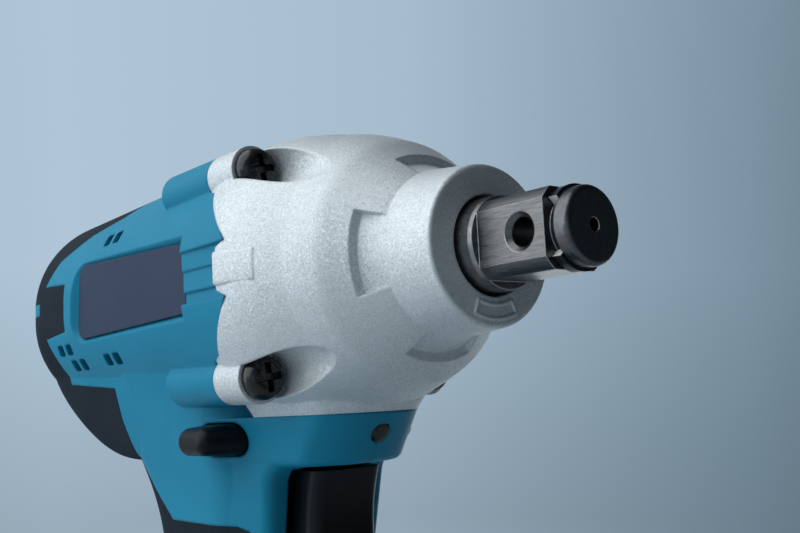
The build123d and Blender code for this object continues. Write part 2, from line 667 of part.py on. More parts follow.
SUN_POINTS = tooth_points(SUN_TEETH, GEAR_MODULE, 1.25 * GEAR_MODULE, BACKLASH)
PLANET_POINTS = tooth_points(PLANET_TEETH, GEAR_MODULE, 1.25 * GEAR_MODULE, BACKLASH)
RING_SPACES = tooth_points(RING_TEETH, 1.25 * GEAR_MODULE, 0.85 * GEAR_MODULE, -BACKLASH)

with BuildPart() as spindle:
    revolve(outline((WING_REAR + PILOT_LENGTH, 0), (WING_REAR + PILOT_LENGTH, PILOT_RADIUS),
                    (WING_REAR - GAP, PILOT_RADIUS), (WING_REAR - GAP, SPINDLE_RADIUS),
                    (CARRIER_FRONT, SPINDLE_RADIUS), (CARRIER_FRONT, CARRIER_RADIUS),
                    (CARRIER_FRONT - CARRIER_PLATE, CARRIER_RADIUS), (CARRIER_FRONT - CARRIER_PLATE, 0)),
            axis=DRIVE_AXIS)
    # Rear plate with the hollow journal that the pinion reaches through
    pinion_bore = SUN_PITCH + GEAR_MODULE + GAP
    revolve(outline((CARRIER_REAR_FACE, pinion_bore), (CARRIER_REAR_FACE, CARRIER_RADIUS),
                    (CARRIER_REAR, CARRIER_RADIUS), (CARRIER_REAR, pinion_bore + JOURNAL_WALL),
                    (BEARING_REAR, pinion_bore + JOURNAL_WALL), (BEARING_REAR, pinion_bore)), axis=DRIVE_AXIS)
    with BuildSketch(across(CARRIER_REAR_FACE)):
        with PolarLocations(CARRIER_RADIUS - PILLAR_RADIUS - GAP, len(PLANET_TURNS), start_angle=60):
            Circle(PILLAR_RADIUS)
    extrude(amount=CARRIER_FRONT - CARRIER_PLATE - CARRIER_REAR_FACE)
    with BuildSketch(across(CARRIER_REAR)):
        with PolarLocations(PLANET_ORBIT, len(PLANET_TURNS)):
            Circle(PLANET_PIN_RADIUS)
    extrude(amount=CARRIER_FRONT - CARRIER_REAR, mode=Mode.SUBTRACT)
    with Locations(*[across(BALL_AT) * Pos(side * SPINDLE_RADIUS, 0, 0) for side in (-1, 1)]):
        Sphere(BALL_RADIUS + FIT, mode=Mode.SUBTRACT)
spindle.part.label = "spindle"
export_step(spindle.part, "parts/spindle.step")

with BuildPart() as planet_pins:
    with BuildSketch(across(CARRIER_REAR)):
        with PolarLocations(PLANET_ORBIT, len(PLANET_TURNS)):
            Circle(PLANET_PIN_RADIUS)
    extrude(amount=CARRIER_FRONT - CARRIER_REAR)
planet_pins.part.label = "planet_pins"
export_step(planet_pins.part, "parts/planet_pins.step")

for number, turn in enumerate(PLANET_TURNS, start=1):
    with BuildPart() as planet_gear:
        extrude(gear_face(planet_plane(PLANET_REAR, turn), PLANET_POINTS, turn), amount=PLANET_WIDTH)
        with BuildSketch(planet_plane(PLANET_REAR, turn)):
            Circle(PLANET_PIN_RADIUS + RUN)
        extrude(amount=PLANET_WIDTH, mode=Mode.SUBTRACT)
    planet_gear.part.label = f"planet_gear_{number}"
    export_step(planet_gear.part, f"parts/planet_gear_{number}.step")

RING_RADIUS_OUT = RING_PITCH + 1.25 * GEAR_MODULE + RING_WALL
with BuildPart() as ring_gear:
    with BuildSketch(across(PLANET_REAR - GAP)):
        Circle(RING_RADIUS_OUT)
    extrude(amount=PLANET_WIDTH + 2 * GAP)
    ring_spaces = gear_face(across(PLANET_REAR - GAP), RING_SPACES, 0)
    extrude(ring_spaces, amount=PLANET_WIDTH + 2 * GAP, mode=Mode.SUBTRACT)
ring_gear.part.label = "ring_gear"
export_step(ring_gear.part, "parts/ring_gear.step")

SPINDLE_JOURNAL = SUN_PITCH + GEAR_MODULE + GAP + JOURNAL_WALL
BEARING_SEAT = SPINDLE_JOURNAL + SPINDLE_BEARING_WALL
with BuildPart() as spindle_bearing:
    with BuildSketch(across(BEARING_REAR)):
        Circle(BEARING_SEAT)
        Circle(SPINDLE_JOURNAL + RUN, mode=Mode.SUBTRACT)
    extrude(amount=SPINDLE_BEARING_WIDTH)
spindle_bearing.part.label = "spindle_bearing"
export_step(spindle_bearing.part, "parts/spindle_bearing.step")

# Stations of the motor
BOX_WALL_REAR = BEARING_REAR - GAP - GEAR_CASE_WALL
MOTOR_BEARING_REAR = BOX_WALL_REAR - MOTOR_BEARING_WIDTH
FAN_FRONT = MOTOR_BEARING_REAR - FAN_ROOM
FAN_REAR = FAN_FRONT - FAN_WIDTH
STATOR_FRONT = FAN_REAR - FAN_ROOM
STATOR_REAR = STATOR_FRONT - STATOR_LENGTH
BOARD_FRONT = STATOR_REAR - FAN_ROOM
REAR_BEARING_FRONT = BOARD_FRONT - BOARD_THICKNESS - REAR_ROOM
REAR_BEARING_REAR = REAR_BEARING_FRONT - MOTOR_BEARING_WIDTH

with BuildPart() as gear_case:
    ring_seat = PLANET_REAR - GAP
    plate_room = CARRIER_RADIUS + 2 * GAP
    hub_radius = MOTOR_BEARING_RADIUS + GEAR_CASE_WALL
    revolve(outline((SPIGOT_REAR - FIT, RING_RADIUS_OUT), (SPIGOT_REAR - FIT, BARREL_BORE - FIT),
                    (BOX_WALL_REAR, BARREL_BORE - FIT), (BOX_WALL_REAR, hub_radius),
                    (MOTOR_BEARING_REAR, hub_radius),
                    (MOTOR_BEARING_REAR, MOTOR_BEARING_RADIUS), (BOX_WALL_REAR, MOTOR_BEARING_RADIUS),
                    (BOX_WALL_REAR, SHAFT_RADIUS + GAP), (BEARING_REAR - GAP, SHAFT_RADIUS + GAP),
                    (BEARING_REAR - GAP, BEARING_SEAT), (CARRIER_REAR - GAP, BEARING_SEAT),
                    (CARRIER_REAR - GAP, plate_room), (ring_seat, plate_room), (ring_seat, RING_RADIUS_OUT)),
            axis=DRIVE_AXIS)
gear_case.part.label = "gear_case"
export_step(gear_case.part, "parts/gear_case.step")

with BuildPart() as motor_pinion:
    extrude(gear_face(across(BEARING_REAR), SUN_POINTS, 0), amount=PLANET_FRONT - BEARING_REAR)
    with BuildSketch(across(BEARING_REAR)):
        Circle(SHAFT_RADIUS)
    extrude(amount=PLANET_FRONT - BEARING_REAR, mode=Mode.SUBTRACT)
motor_pinion.part.label = "motor_pinion"
export_step(motor_pinion.part, "parts/motor_pinion.step")

with BuildPart() as rotor_shaft:
    with BuildSketch(across(REAR_BEARING_REAR)):
        Circle(SHAFT_RADIUS)
    extrude(amount=PLANET_FRONT - REAR_BEARING_REAR)
rotor_shaft.part.label = "rotor_shaft"
export_step(rotor_shaft.part, "parts/rotor_shaft.step")

with BuildPart() as rotor_core:
    with BuildSketch(across(STATOR_REAR)):
        Circle(ROTOR_RADIUS)
        Circle(SHAFT_RADIUS, mode=Mode.SUBTRACT)
        with PolarLocations(MAGNET_RADIUS, ROTOR_POLES):
            SlotOverall(MAGNET_LENGTH, MAGNET_WIDTH, rotation=90, mode=Mode.SUBTRACT)
    extrude(amount=STATOR_LENGTH)
rotor_core.part.label = "rotor_core"
export_step(rotor_core.part, "parts/rotor_core.step")

with BuildPart() as cooling_fan:
    with BuildSketch(across(FAN_REAR)):
        Circle(FAN_RADIUS)
        Circle(SHAFT_RADIUS, mode=Mode.SUBTRACT)
    extrude(amount=FAN_DISC)
    with BuildSketch(across(FAN_REAR)):
        Circle(2 * SHAFT_RADIUS)
        Circle(SHAFT_RADIUS, mode=Mode.SUBTRACT)
        with PolarLocations((FAN_RADIUS + 2 * SHAFT_RADIUS) / 2, FAN_BLADES):
            Rectangle(FAN_RADIUS - 2 * SHAFT_RADIUS, FAN_BLADE, rotation=FAN_BLADE_LEAN)
    extrude(amount=FAN_WIDTH)
cooling_fan.part.label = "cooling_fan"
export_step(cooling_fan.part, "parts/cooling_fan.step")

MOTOR_BEARINGS = (("front_motor_bearing", MOTOR_BEARING_REAR), ("rear_motor_bearing", REAR_BEARING_REAR))
for bearing_name, bearing_rear in MOTOR_BEARINGS:
    with BuildPart() as motor_bearing:
        with BuildSketch(across(bearing_rear)):
            Circle(MOTOR_BEARING_RADIUS)
            Circle(SHAFT_RADIUS + RUN, mode=Mode.SUBTRACT)
        extrude(amount=MOTOR_BEARING_WIDTH)
    motor_bearing.part.label = bearing_name
    export_step(motor_bearing.part, f"parts/{bearing_name}.step")

with BuildPart() as stator:
    tooth_reach = STATOR_RADIUS - STATOR_YOKE - ROTOR_RADIUS - AIR_GAP
    with BuildSketch(across(STATOR_REAR)):
        Circle(STATOR_RADIUS)
        Circle(STATOR_RADIUS - STATOR_YOKE, mode=Mode.SUBTRACT)
        with PolarLocations(STATOR_RADIUS - STATOR_YOKE - tooth_reach / 2, STATOR_TEETH):
            Rectangle(tooth_reach + STATOR_YOKE, STATOR_TOOTH)
        Circle(ROTOR_RADIUS + AIR_GAP, mode=Mode.SUBTRACT)
    extrude(amount=STATOR_LENGTH)
stator.part.label = "stator"
export_step(stator.part, "parts/stator.step")

with BuildPart() as stator_coils:
    with BuildSketch(across(STATOR_REAR - COIL_OVERHANG)):
        with PolarLocations(STATOR_RADIUS - STATOR_YOKE - tooth_reach / 2, STATOR_TEETH):
            Rectangle(tooth_reach - 2 * GAP, STATOR_TOOTH + 2 * COIL_WIDTH)
        Circle(STATOR_RADIUS - STATOR_YOKE - FIT, mode=Mode.INTERSECT)
    extrude(amount=STATOR_LENGTH + 2 * COIL_OVERHANG)
    with BuildSketch(across(STATOR_REAR - FIT)):
        with PolarLocations(STATOR_RADIUS - STATOR_YOKE - tooth_reach / 2, STATOR_TEETH):
            Rectangle(2 * tooth_reach, STATOR_TOOTH + 2 * FIT)
    extrude(amount=STATOR_LENGTH + 2 * FIT, mode=Mode.SUBTRACT)
stator_coils.part.label = "stator_coils"
export_step(stator_coils.part, "parts/stator_coils.step")

with BuildPart() as sensor_board:
    with BuildSketch(across(BOARD_FRONT - BOARD_THICKNESS)):
        Circle(MOTOR_BORE - GAP)
        Circle(ROTOR_RADIUS, mode=Mode.SUBTRACT)
    extrude(amount=BOARD_THICKNESS)
sensor_board.part.label = "sensor_board"
export_step(sensor_board.part, "parts/sensor_board.step")


# Outside of the housing, which the rubber and the hollow of the handle follow at a constant distance
HANDLE_SECTIONS = (
    # height, front, rear, half width, corner radius
    (-14.0, -50.0, -108.0, 23.6, 18.0),
    (-20.0, -50.0, -107.6, 22.4, 17.5),
    (-26.0, -50.0, -107.0, 21.0, 17.0),
    (-34.0, -50.0, -104.8, 19.4, 15.5),
    (-40.0, -50.0, -101.6, 18.2, 14.5),
    (-48.0, -51.8, -97.8, 17.5, 14.0),
    (-60.0, -53.0, -95.6, 17.2, 14.0),
    (32.0 - HANDLE_DROP, -55.5, -95.5, 17.0, 13.5),
    (14.0 - HANDLE_DROP, -58.0, -100.0, 17.6, 13.5),
    (7.0 - HANDLE_DROP, -50.5, -106.0, 21.5, 13.5),
    (1.0 - HANDLE_DROP, -35.0, -113.5, 30.0, 14.0),
    (-4.0 - HANDLE_DROP, FOOT_FRONT, FOOT_REAR, FOOT_HALF_WIDTH, FOOT_CORNER),
)
TAIL_SECTIONS = (
    # the same for the belly behind the handle
    (-6.0, -60.0, -146.0, 24.0, 18.0),
    (-15.0, -60.0, -147.0, 23.0, 18.0),
    (-24.0, -60.0, -138.5, 21.5, 17.5),
    (-31.3, -60.0, -126.0, 19.8, 16.5),
    (-35.3, -60.0, -107.0, 17.5, 14.0),
)
FOOT_TOP = HANDLE_SECTIONS[-1][0]
FOOT_BOTTOM = -HANDLE_DROP - FOOT_HEIGHT


def ring_section(section, inset):
    """Rounded section of the handle, drawn in from its outside by the inset."""
    height, front, rear, half_width, corner = section
    with BuildSketch(level(height)) as face:
        with Locations(((front + rear) / 2, 0)):
            RectangleRounded(front - rear - 2 * inset, 2 * (half_width - inset), corner - inset)
    return face.sketch


def barrel_shape(inset):
    """Rounded barrel from the front of the seam to the rear end."""
    with BuildPart() as shape:
        with BuildSketch(across(SEAM_FRONT)):
            RectangleRounded(2 * (BARREL_HALF_WIDTH - inset), 2 * (BARREL_HALF_HEIGHT - inset),
                             BARREL_CORNER - inset)
        extrude(amount=-(BODY_LENGTH + SEAM_FRONT - inset), taper=BARREL_TAPER)
        fillet(shape.faces().sort_by(Axis.X)[0].edges(), BARREL_END_ROUND - inset)
        add(seam_space.part, mode=Mode.INTERSECT)
    return shape.part


def handle_shape(inset, first=0):
    """Handle and flared foot, from one of the upper sections down to the flare's lower edge."""
    with BuildPart() as shape:
        loft([ring_section(section, inset) for section in HANDLE_SECTIONS[first:]])
    return shape.part


def tail_shape(inset):
    """Belly that sweeps from the rear end of the barrel down to the handle."""
    with BuildPart() as shape:
        loft([ring_section(section, inset) for section in TAIL_SECTIONS])
    return shape.part


def collar_section(height, widths, inset):
    """Plan of the collar at a height, widest where it runs into the sides of the handle."""
    right = [(length, width - inset) for length, width in zip(COLLAR_LENGTHS, widths)]
    left = [(length, -half_width) for length, half_width in reversed(right)]
    return outline(*right, *left, plane=level(height))


def collar_shape(inset):
    """Flat-fronted part of the handle round the trigger, which runs out further down the grip."""
    with BuildPart() as shape:
        loft([collar_section(COLLAR_TOP, COLLAR_TOP_WIDTHS, inset),
              collar_section(COLLAR_BOTTOM, COLLAR_BOTTOM_WIDTHS, inset)])
        # Side view, with a round inner corner under the chin
        front = COLLAR_FRONT - inset
        corner = COLLAR_CORNER + inset
        under_chin = PAD_Z - CHIN_DROP + inset
        with BuildSketch(around(0)):
            with BuildLine():
                Polyline((front, under_chin - corner), (COLLAR_FOOT - inset, COLLAR_BOTTOM),
                         (COLLAR_LENGTHS[-1], COLLAR_BOTTOM), (COLLAR_LENGTHS[-1], COLLAR_TOP),
                         (front + corner, COLLAR_TOP), (front + corner, under_chin))
                RadiusArc((front + corner, under_chin), (front, under_chin - corner), -corner)
            make_face()
        extrude(amount=BODY_LENGTH, both=True, mode=Mode.INTERSECT)
        front_faces = shape.faces().filter_by(lambda face: face.normal_at(face.center()).X > 0.5)
        fillet(front_faces.edges().filter_by(Axis.Y, reverse=True), COLLAR_ROUND - inset)
    return shape.part


def envelope(inset):
    """Barrel, belly, handle and foot together, drawn in by the inset."""
    with BuildPart() as shape:
        add(barrel_shape(inset))
        add(tail_shape(inset))
        add(handle_shape(inset))
        add(collar_shape(inset))
        extrude(ring_section(HANDLE_SECTIONS[-1], inset), amount=FOOT_BOTTOM - FOOT_TOP)
    return shape.part


def groove(outer, inner):
    """Ring between two outlines, cut out as a groove."""
    with BuildPart() as ring:
        extrude(outer, amount=GROOVE_WIDTH)
        extrude(inner, amount=GROOVE_WIDTH, mode=Mode.SUBTRACT)
    return ring.part


def beside(side, distance):
    """Upright plane on the right (-1) or left (1) side, with (length, height) coordinates, facing right."""
    return Plane(origin=(NOSE_X, side * distance, AXIS_Z), x_dir=(1, 0, 0), z_dir=(0, -1, 0))


def slab(length_from, length_to, half_width, height_from, height_to):
    """Box given by its ends along the tool, its half width and its lower and upper height."""
    with BuildPart() as box:
        with Locations((NOSE_X + (length_from + length_to) / 2, 0, AXIS_Z + (height_from + height_to) / 2)):
            Box(length_to - length_from, 2 * half_width, height_to - height_from)
    return box.part


outside = envelope(0)

with BuildPart() as rubber_skin:
    add(outside)
    add(envelope(RUBBER), mode=Mode.SUBTRACT)
    rubber_side = outline(
        (-92, 45), (-92, 22), (-97, 19.3), (-110, 17.2), (-122.5, 12.5), (-127.5, 6.6), (-114.2, 5.8),
        (-114.2, -5.3), (-127, -6.3), (-124, -12), (-122.5, -17.5), (-98.5, -19.2), (-97.5, -26.5),
        (-95, -34),
        (-88, -41.7), (-81.3, -47.4), (-58, -47.5), (-55, -48.4), (-54.5, -52), (-58, -70), (-62, -90),
        (-52, 4 - HANDLE_DROP), (-2 * BODY_LENGTH, 4 - HANDLE_DROP), (-2 * BODY_LENGTH, 45))
    extrude(rubber_side, amount=BODY_LENGTH, both=True, mode=Mode.INTERSECT)
    # Window that leaves a patch of the housing bare at the rear
    add(slab(*REAR_WINDOW), mode=Mode.SUBTRACT)

with BuildPart() as case_screws:
    with BuildSketch(boss_plane(BOSS_FRONT)):
        with GridLocations(*BOSS_SPACING):
            Circle(SCREW_HEAD_RADIUS)
    extrude(amount=SCREW_HEAD_HEIGHT)
    fillet(case_screws.faces().group_by(Axis.X)[-1].edges(), SCREW_HEAD_ROUND)
    with BuildSketch(boss_plane(BOSS_FRONT + SCREW_HEAD_HEIGHT)):
        with GridLocations(*BOSS_SPACING):
            Rectangle(RECESS_SPAN, RECESS_WIDTH, rotation=RECESS_TURN)
            Rectangle(RECESS_WIDTH, RECESS_SPAN, rotation=RECESS_TURN)
    extrude(amount=-RECESS_DEPTH, mode=Mode.SUBTRACT)
    with BuildSketch(boss_plane(BOSS_FRONT)):
        with GridLocations(*BOSS_SPACING):
            Circle(SCREW_RADIUS)
    extrude(amount=-SCREW_LENGTH)
case_screws.part.label = "hammer_case_screws"
export_step(case_screws.part, "parts/hammer_case_screws.step")

# Screws that hold the housing halves together, set from the left side
HOUSING_SCREW_PLACES = (
    # length, height, distance of the head's seat from the middle
    (-40.5, -31.5, 8.0),
    (-105.0, -29.5, 10.0),
    (-61.0, -69.5, 8.0),
    (-76.0, 24.0 - HANDLE_DROP, 8.0),
    (-42.0, 0.5 - HANDLE_DROP, 12.0),
    (-106.0, 0.5 - HANDLE_DROP, 12.0),
    (-141.0, 13.0, 8.0),
    (-141.0, -13.0, 8.0),
)
with BuildPart() as housing_screws:
    for length, height, seat in HOUSING_SCREW_PLACES:
        with BuildSketch(beside(1, seat + JOIN_HEAD_HEIGHT)):
            with Locations((length, height)):
                Circle(JOIN_HEAD_RADIUS)
        extrude(amount=JOIN_HEAD_HEIGHT)
        with BuildSketch(beside(1, seat)):
            with Locations((length, height)):
                Circle(JOIN_RADIUS)
        extrude(amount=JOIN_LENGTH)
        with BuildSketch(beside(1, seat + JOIN_HEAD_HEIGHT)):
            with Locations((length, height)):
                RegularPolygon(JOIN_RADIUS, 6)
        extrude(amount=JOIN_HEAD_HEIGHT / 2, mode=Mode.SUBTRACT)
housing_screws.part.label = "housing_screws"
export_step(housing_screws.part, "parts/housing_screws.step")

LED_LEAN = atan2(CHIN_RAKE, CHIN_DROP)
LED_PLANE = Plane(origin=(NOSE_X + LED_PLACE[0], 0, AXIS_Z + LED_PLACE[1]), x_dir=(0, 1, 0),
                  z_dir=(cos(LED_LEAN), 0, -sin(LED_LEAN)))


def plate_outline(distance, grow):
    """Name plate outline along the right side, grown up, down and back for the bevel of its recess."""
    upper_front, lower_front, lower_rear, upper_rear = PLATE_CORNERS
    lean = radians(BARREL_TAPER)
    side_plane = Plane(origin=(NOSE_X, -distance, AXIS_Z), x_dir=(cos(lean), -sin(lean), 0),
                       z_dir=(-sin(lean), -cos(lean), 0))
    with BuildSketch(side_plane) as face:
        with BuildLine():
            Polyline((upper_front[0], upper_front[1] + grow), (lower_front[0], lower_front[1] - grow),
                     (lower_rear[0] - grow, lower_rear[1] - grow),
                     (upper_rear[0] - grow, upper_rear[1] + grow), close=True)
        make_face()
        fillet(face.vertices().sort_by(Axis.X)[:2], PLATE_ROUND + grow)
    return face.sketch


def lever_outline(distance, grow):
    """Long rounded outline of the reversing lever, at a distance from the middle towards the right."""
    with BuildSketch(beside(-1, distance)) as face:
        with Locations(((LEVER_REAR + LEVER_FRONT) / 2, LEVER_HEIGHT)):
            SlotOverall(LEVER_FRONT - LEVER_REAR + 2 * grow, LEVER_THICKNESS + 2 * grow)
    return face.sketch


with BuildPart() as name_plate:
    extrude(plate_outline(PLATE_FLOOR + PLATE_THICKNESS, 0), amount=-PLATE_THICKNESS)
name_plate.part.label = "name_plate"
export_step(name_plate.part, "parts/name_plate.step")

with BuildPart() as boss_rods:
    with BuildSketch(boss_plane(SEAM_REAR)):
        with GridLocations(*BOSS_SPACING):
            Circle(BOSS_RADIUS)
    extrude(amount=-HOUSING_BOSS_LENGTH)
    fillet(boss_rods.faces().group_by(Axis.X)[0].edges(), BOSS_END_ROUND)

with BuildPart() as chin:
    loft([pad_outline(PAD_Z, 0, CHIN_REAR), pad_outline(PAD_Z - CHIN_DROP, -CHIN_RAKE, CHIN_REAR)])
    fillet(chin.faces().sort_by(Axis.Z)[0].edges().sort_by(Axis.X)[1:], CHIN_ROUND)

with BuildPart() as housing:
    add(outside)
    add(boss_rods.part)
    add(chin.part)
    add(case_blank.part, mode=Mode.SUBTRACT)
    add(rubber_skin.part, mode=Mode.SUBTRACT)
    # Hollow barrel with the room of the motor and the seat of the rear bearing
    with BuildSketch(across(SPIGOT_REAR)):
        Circle(BARREL_BORE)
    extrude(amount=BOX_WALL_REAR - SPIGOT_REAR, mode=Mode.SUBTRACT)
    with BuildSketch(across(SPIGOT_REAR)):
        Circle(MOTOR_BORE)
    extrude(amount=REAR_BEARING_FRONT - SPIGOT_REAR, mode=Mode.SUBTRACT)
    with BuildSketch(across(REAR_BEARING_FRONT)):
        Circle(MOTOR_BEARING_RADIUS)
    extrude(amount=REAR_BEARING_REAR - REAR_BEARING_FRONT - GAP, mode=Mode.SUBTRACT)
    # Hollow handle down to the floor of the foot, and a passage for the wires
    with BuildPart(mode=Mode.PRIVATE) as hollow:
        add(handle_shape(WALL, first=2))
        add(slab(-BODY_LENGTH, 0, FOOT_HALF_WIDTH, FLOOR_TOP, 0), mode=Mode.INTERSECT)
        # Posts that the joining screws go into
        for length, height, seat in HOUSING_SCREW_PLACES:
            with BuildSketch(beside(-1, 2 * FOOT_HALF_WIDTH)):
                with Locations((length, height)):
                    Circle(POST_RADIUS)
            extrude(amount=-4 * FOOT_HALF_WIDTH, mode=Mode.SUBTRACT)
    add(hollow.part, mode=Mode.SUBTRACT)
    add(slab(*WIRE_PASSAGE), mode=Mode.SUBTRACT)
    # Groove round the foot
    groove_section = (FOOT_BOTTOM + FOOT_GROOVE_HEIGHT, *HANDLE_SECTIONS[-1][1:])
    foot_groove = groove(ring_section(groove_section, -FIT), ring_section(groove_section, GROOVE_DEPTH))
    add(foot_groove, mode=Mode.SUBTRACT)
    # Rail channel for the battery, and the opening for the terminals
    add(slab(CHANNEL_REAR, 0, CHANNEL_HALF_WIDTH, LIP_TOP, CHANNEL_TOP), mode=Mode.SUBTRACT)
    add(slab(CHANNEL_REAR, 0, LIP_HALF_WIDTH, FOOT_BOTTOM - FIT, LIP_TOP), mode=Mode.SUBTRACT)
    add(slab(*BLOCK_LENGTHS, BLOCK_HALF_WIDTH, CHANNEL_TOP - FIT, FLOOR_TOP + FIT), mode=Mode.SUBTRACT)
    # Openings for the trigger, the reversing lever and the work light
    add(slab(TRIGGER_REAR, 0, TRIGGER_HALF_WIDTH + TRIGGER_ROOM, TRIGGER_BOTTOM - GAP, TRIGGER_TOP + GAP),
        mode=Mode.SUBTRACT)
    extrude(lever_outline(0, GAP), amount=BARREL_HALF_WIDTH, both=True, mode=Mode.SUBTRACT)
    with BuildSketch(LED_PLANE):
        Circle(LED_RADIUS)
    extrude(amount=-LED_DEPTH, mode=Mode.SUBTRACT)
    # Screw holes
    with BuildSketch(boss_plane(SEAM_REAR)):
        with GridLocations(*BOSS_SPACING):
            Circle(SCREW_RADIUS)
    extrude(amount=BOSS_FRONT - SCREW_LENGTH - SEAM_REAR - GAP, mode=Mode.SUBTRACT)
    for length, height, seat in HOUSING_SCREW_PLACES:
        with BuildSketch(beside(1, 2 * FOOT_HALF_WIDTH)):
            with Locations((length, height)):
                Circle(JOIN_HEAD_RADIUS + FIT)
        extrude(amount=2 * FOOT_HALF_WIDTH - seat, mode=Mode.SUBTRACT)
        with BuildSketch(beside(1, seat)):
            with Locations((length, height)):
                Circle(JOIN_RADIUS)
        extrude(amount=JOIN_LENGTH + GAP, mode=Mode.SUBTRACT)
    # Recess of the name plate with its bevel
    recess_mouth = plate_outline(PLATE_FLOOR + PLATE_BEVEL, PLATE_BEVEL)
    loft([plate_outline(PLATE_FLOOR, 0), recess_mouth], mode=Mode.SUBTRACT)
    for side in (-1, 1):
        # Stepped ridges in front of the recess
        for top, bottom, depth in RIDGES:
            with BuildSketch(beside(side, depth)):
                with Locations(((PLATE_CORNERS[0][0] + SEAM_FRONT) / 2, (top + bottom) / 2)):
                    Rectangle(SEAM_FRONT - PLATE_CORNERS[0][0], top - bottom)
            extrude(amount=-side * BARREL_HALF_WIDTH, mode=Mode.SUBTRACT)
        # Vent slots in pairs
        with BuildSketch(beside(side, 2 * BARREL_HALF_WIDTH)):
            for length, height in VENTS:
                with Locations((length - VENT_PITCH / 2, height), (length + VENT_PITCH / 2, height)):
                    RectangleRounded(VENT_LENGTH, VENT_HEIGHT, VENT_ROUND)
        extrude(amount=side * (2 * BARREL_HALF_WIDTH - BARREL_BORE / 2), mode=Mode.SUBTRACT)

HALVES = (("housing_right", Keep.TOP, "grip_right"), ("housing_left", Keep.BOTTOM, "grip_left"))
for half_name, kept, skin_name in HALVES:
    with BuildPart() as housing_half:
        add(housing.part)
        split(bisect_by=Plane.XZ, keep=kept)
    housing_half.part.label = half_name
    export_step(housing_half.part, f"parts/{half_name}.step")
    with BuildPart() as grip_half:
        add(rubber_skin.part)
        split(bisect_by=Plane.XZ, keep=kept)
    grip_half.part.label = skin_name
    export_step(grip_half.part, f"parts/{skin_name}.step")

with BuildPart() as work_light_lens:
    with BuildSketch(LED_PLANE.offset(-LENS_SINK)):
        Circle(LED_RADIUS)
    extrude(amount=-LENS_LENGTH)
work_light_lens.part.label = "work_light_lens"
export_step(work_light_lens.part, "parts/work_light_lens.step")

with BuildPart() as work_light_led:
    with BuildSketch(LED_PLANE.offset(-LENS_SINK - LENS_LENGTH)):
        Circle(LED_RADIUS - FIT)
    extrude(amount=-(LED_DEPTH - LENS_SINK - LENS_LENGTH - FIT))
work_light_led.part.label = "work_light_led"
export_step(work_light_led.part, "parts/work_light_led.step")

# Controls
with BuildPart() as reversing_lever:
    extrude(lever_outline(0, 0), amount=LEVER_STRAIGHT)
    extrude(lever_outline(LEVER_STRAIGHT, 0), amount=LEVER_END - LEVER_STRAIGHT, taper=LEVER_TAPER)
    fillet(reversing_lever.faces().sort_by(Axis.Y)[0].edges(), LEVER_ROUND)
    mirror(about=Plane.XZ)
reversing_lever.part.label = "reversing_lever"
export_step(reversing_lever.part, "parts/reversing_lever.step")

with BuildPart() as trigger:
    with BuildSketch(beside(-1, TRIGGER_HALF_WIDTH)):
        with BuildLine():
            Polyline(TRIGGER_LOW_FRONT, (TRIGGER_LOW_FRONT[0], TRIGGER_BOTTOM),
                     (TRIGGER_REAR, TRIGGER_BOTTOM), (TRIGGER_REAR, TRIGGER_TOP), TRIGGER_HIGH_FRONT)
            ThreePointArc(TRIGGER_HIGH_FRONT, TRIGGER_MIDDLE_FRONT, TRIGGER_LOW_FRONT)
        make_face()
    extrude(amount=-2 * TRIGGER_HALF_WIDTH)
    fillet(trigger.faces().filter_by(GeomType.CYLINDER).edges().filter_by(GeomType.CIRCLE), TRIGGER_ROUND)
    with BuildSketch(across(TRIGGER_REAR)):
        with Locations((0, TRIGGER_SPRING_HEIGHT)):
            Circle(TRIGGER_SPRING_RADIUS + 2 * GAP)
    extrude(amount=TRIGGER_SPRING_DEPTH, mode=Mode.SUBTRACT)
trigger.part.label = "trigger"
export_step(trigger.part, "parts/trigger.step")

SWITCH_FRONT = TRIGGER_REAR - TRIGGER_TRAVEL - GAP
with BuildPart() as switch_body:
    add(slab(SWITCH_FRONT - SWITCH_LENGTH, SWITCH_FRONT, SWITCH_HALF_WIDTH, SWITCH_BOTTOM, SWITCH_TOP))
    fillet(switch_body.edges().filter_by(Axis.X), SWITCH_EDGE)
switch_body.part.label = "switch_body"
export_step(switch_body.part, "parts/switch_body.step")

with BuildPart() as trigger_spring:
    spring_plane = across(SWITCH_FRONT + TRIGGER_WIRE + FIT)
    spring_plane.origin += (0, 0, TRIGGER_SPRING_HEIGHT)
    add(coil(spring_plane, TRIGGER_REAR + TRIGGER_SPRING_DEPTH - SWITCH_FRONT - 2 * TRIGGER_WIRE - 2 * FIT,
             TRIGGER_SPRING_RADIUS - TRIGGER_WIRE, TRIGGER_WIRE, SMALL_SPRING_HALF_TURNS))
trigger_spring.part.label = "trigger_spring"
export_step(trigger_spring.part, "parts/trigger_spring.step")

with BuildPart() as controller:
    add(slab(*CONTROLLER_LENGTHS, CONTROLLER_HALF_WIDTH, FLOOR_TOP, FLOOR_TOP + CONTROLLER_HEIGHT))
    fillet(controller.edges().filter_by(Axis.Z), CONTROLLER_EDGE)
controller.part.label = "controller"
export_step(controller.part, "parts/controller.step")

with BuildPart() as terminal_block:
    add(slab(BLOCK_LENGTHS[0] + FIT, BLOCK_LENGTHS[1] - FIT, BLOCK_HALF_WIDTH - FIT, CHANNEL_TOP,
             FLOOR_TOP + BLOCK_RISE))
terminal_block.part.label = "terminal_block"
export_step(terminal_block.part, "parts/terminal_block.step")

with BuildPart() as terminal_blades:
    for side in (-1, 1):
        blade_middle = AXIS_Z + CHANNEL_TOP - BLADE_HEIGHT / 2
        with Locations((NOSE_X + sum(BLOCK_LENGTHS) / 2, side * BLADE_Y, blade_middle)):
            Box(BLADE_LENGTH, BLADE_THICKNESS, BLADE_HEIGHT)
terminal_blades.part.label = "terminal_blades"
export_step(terminal_blades.part, "parts/terminal_blades.step")

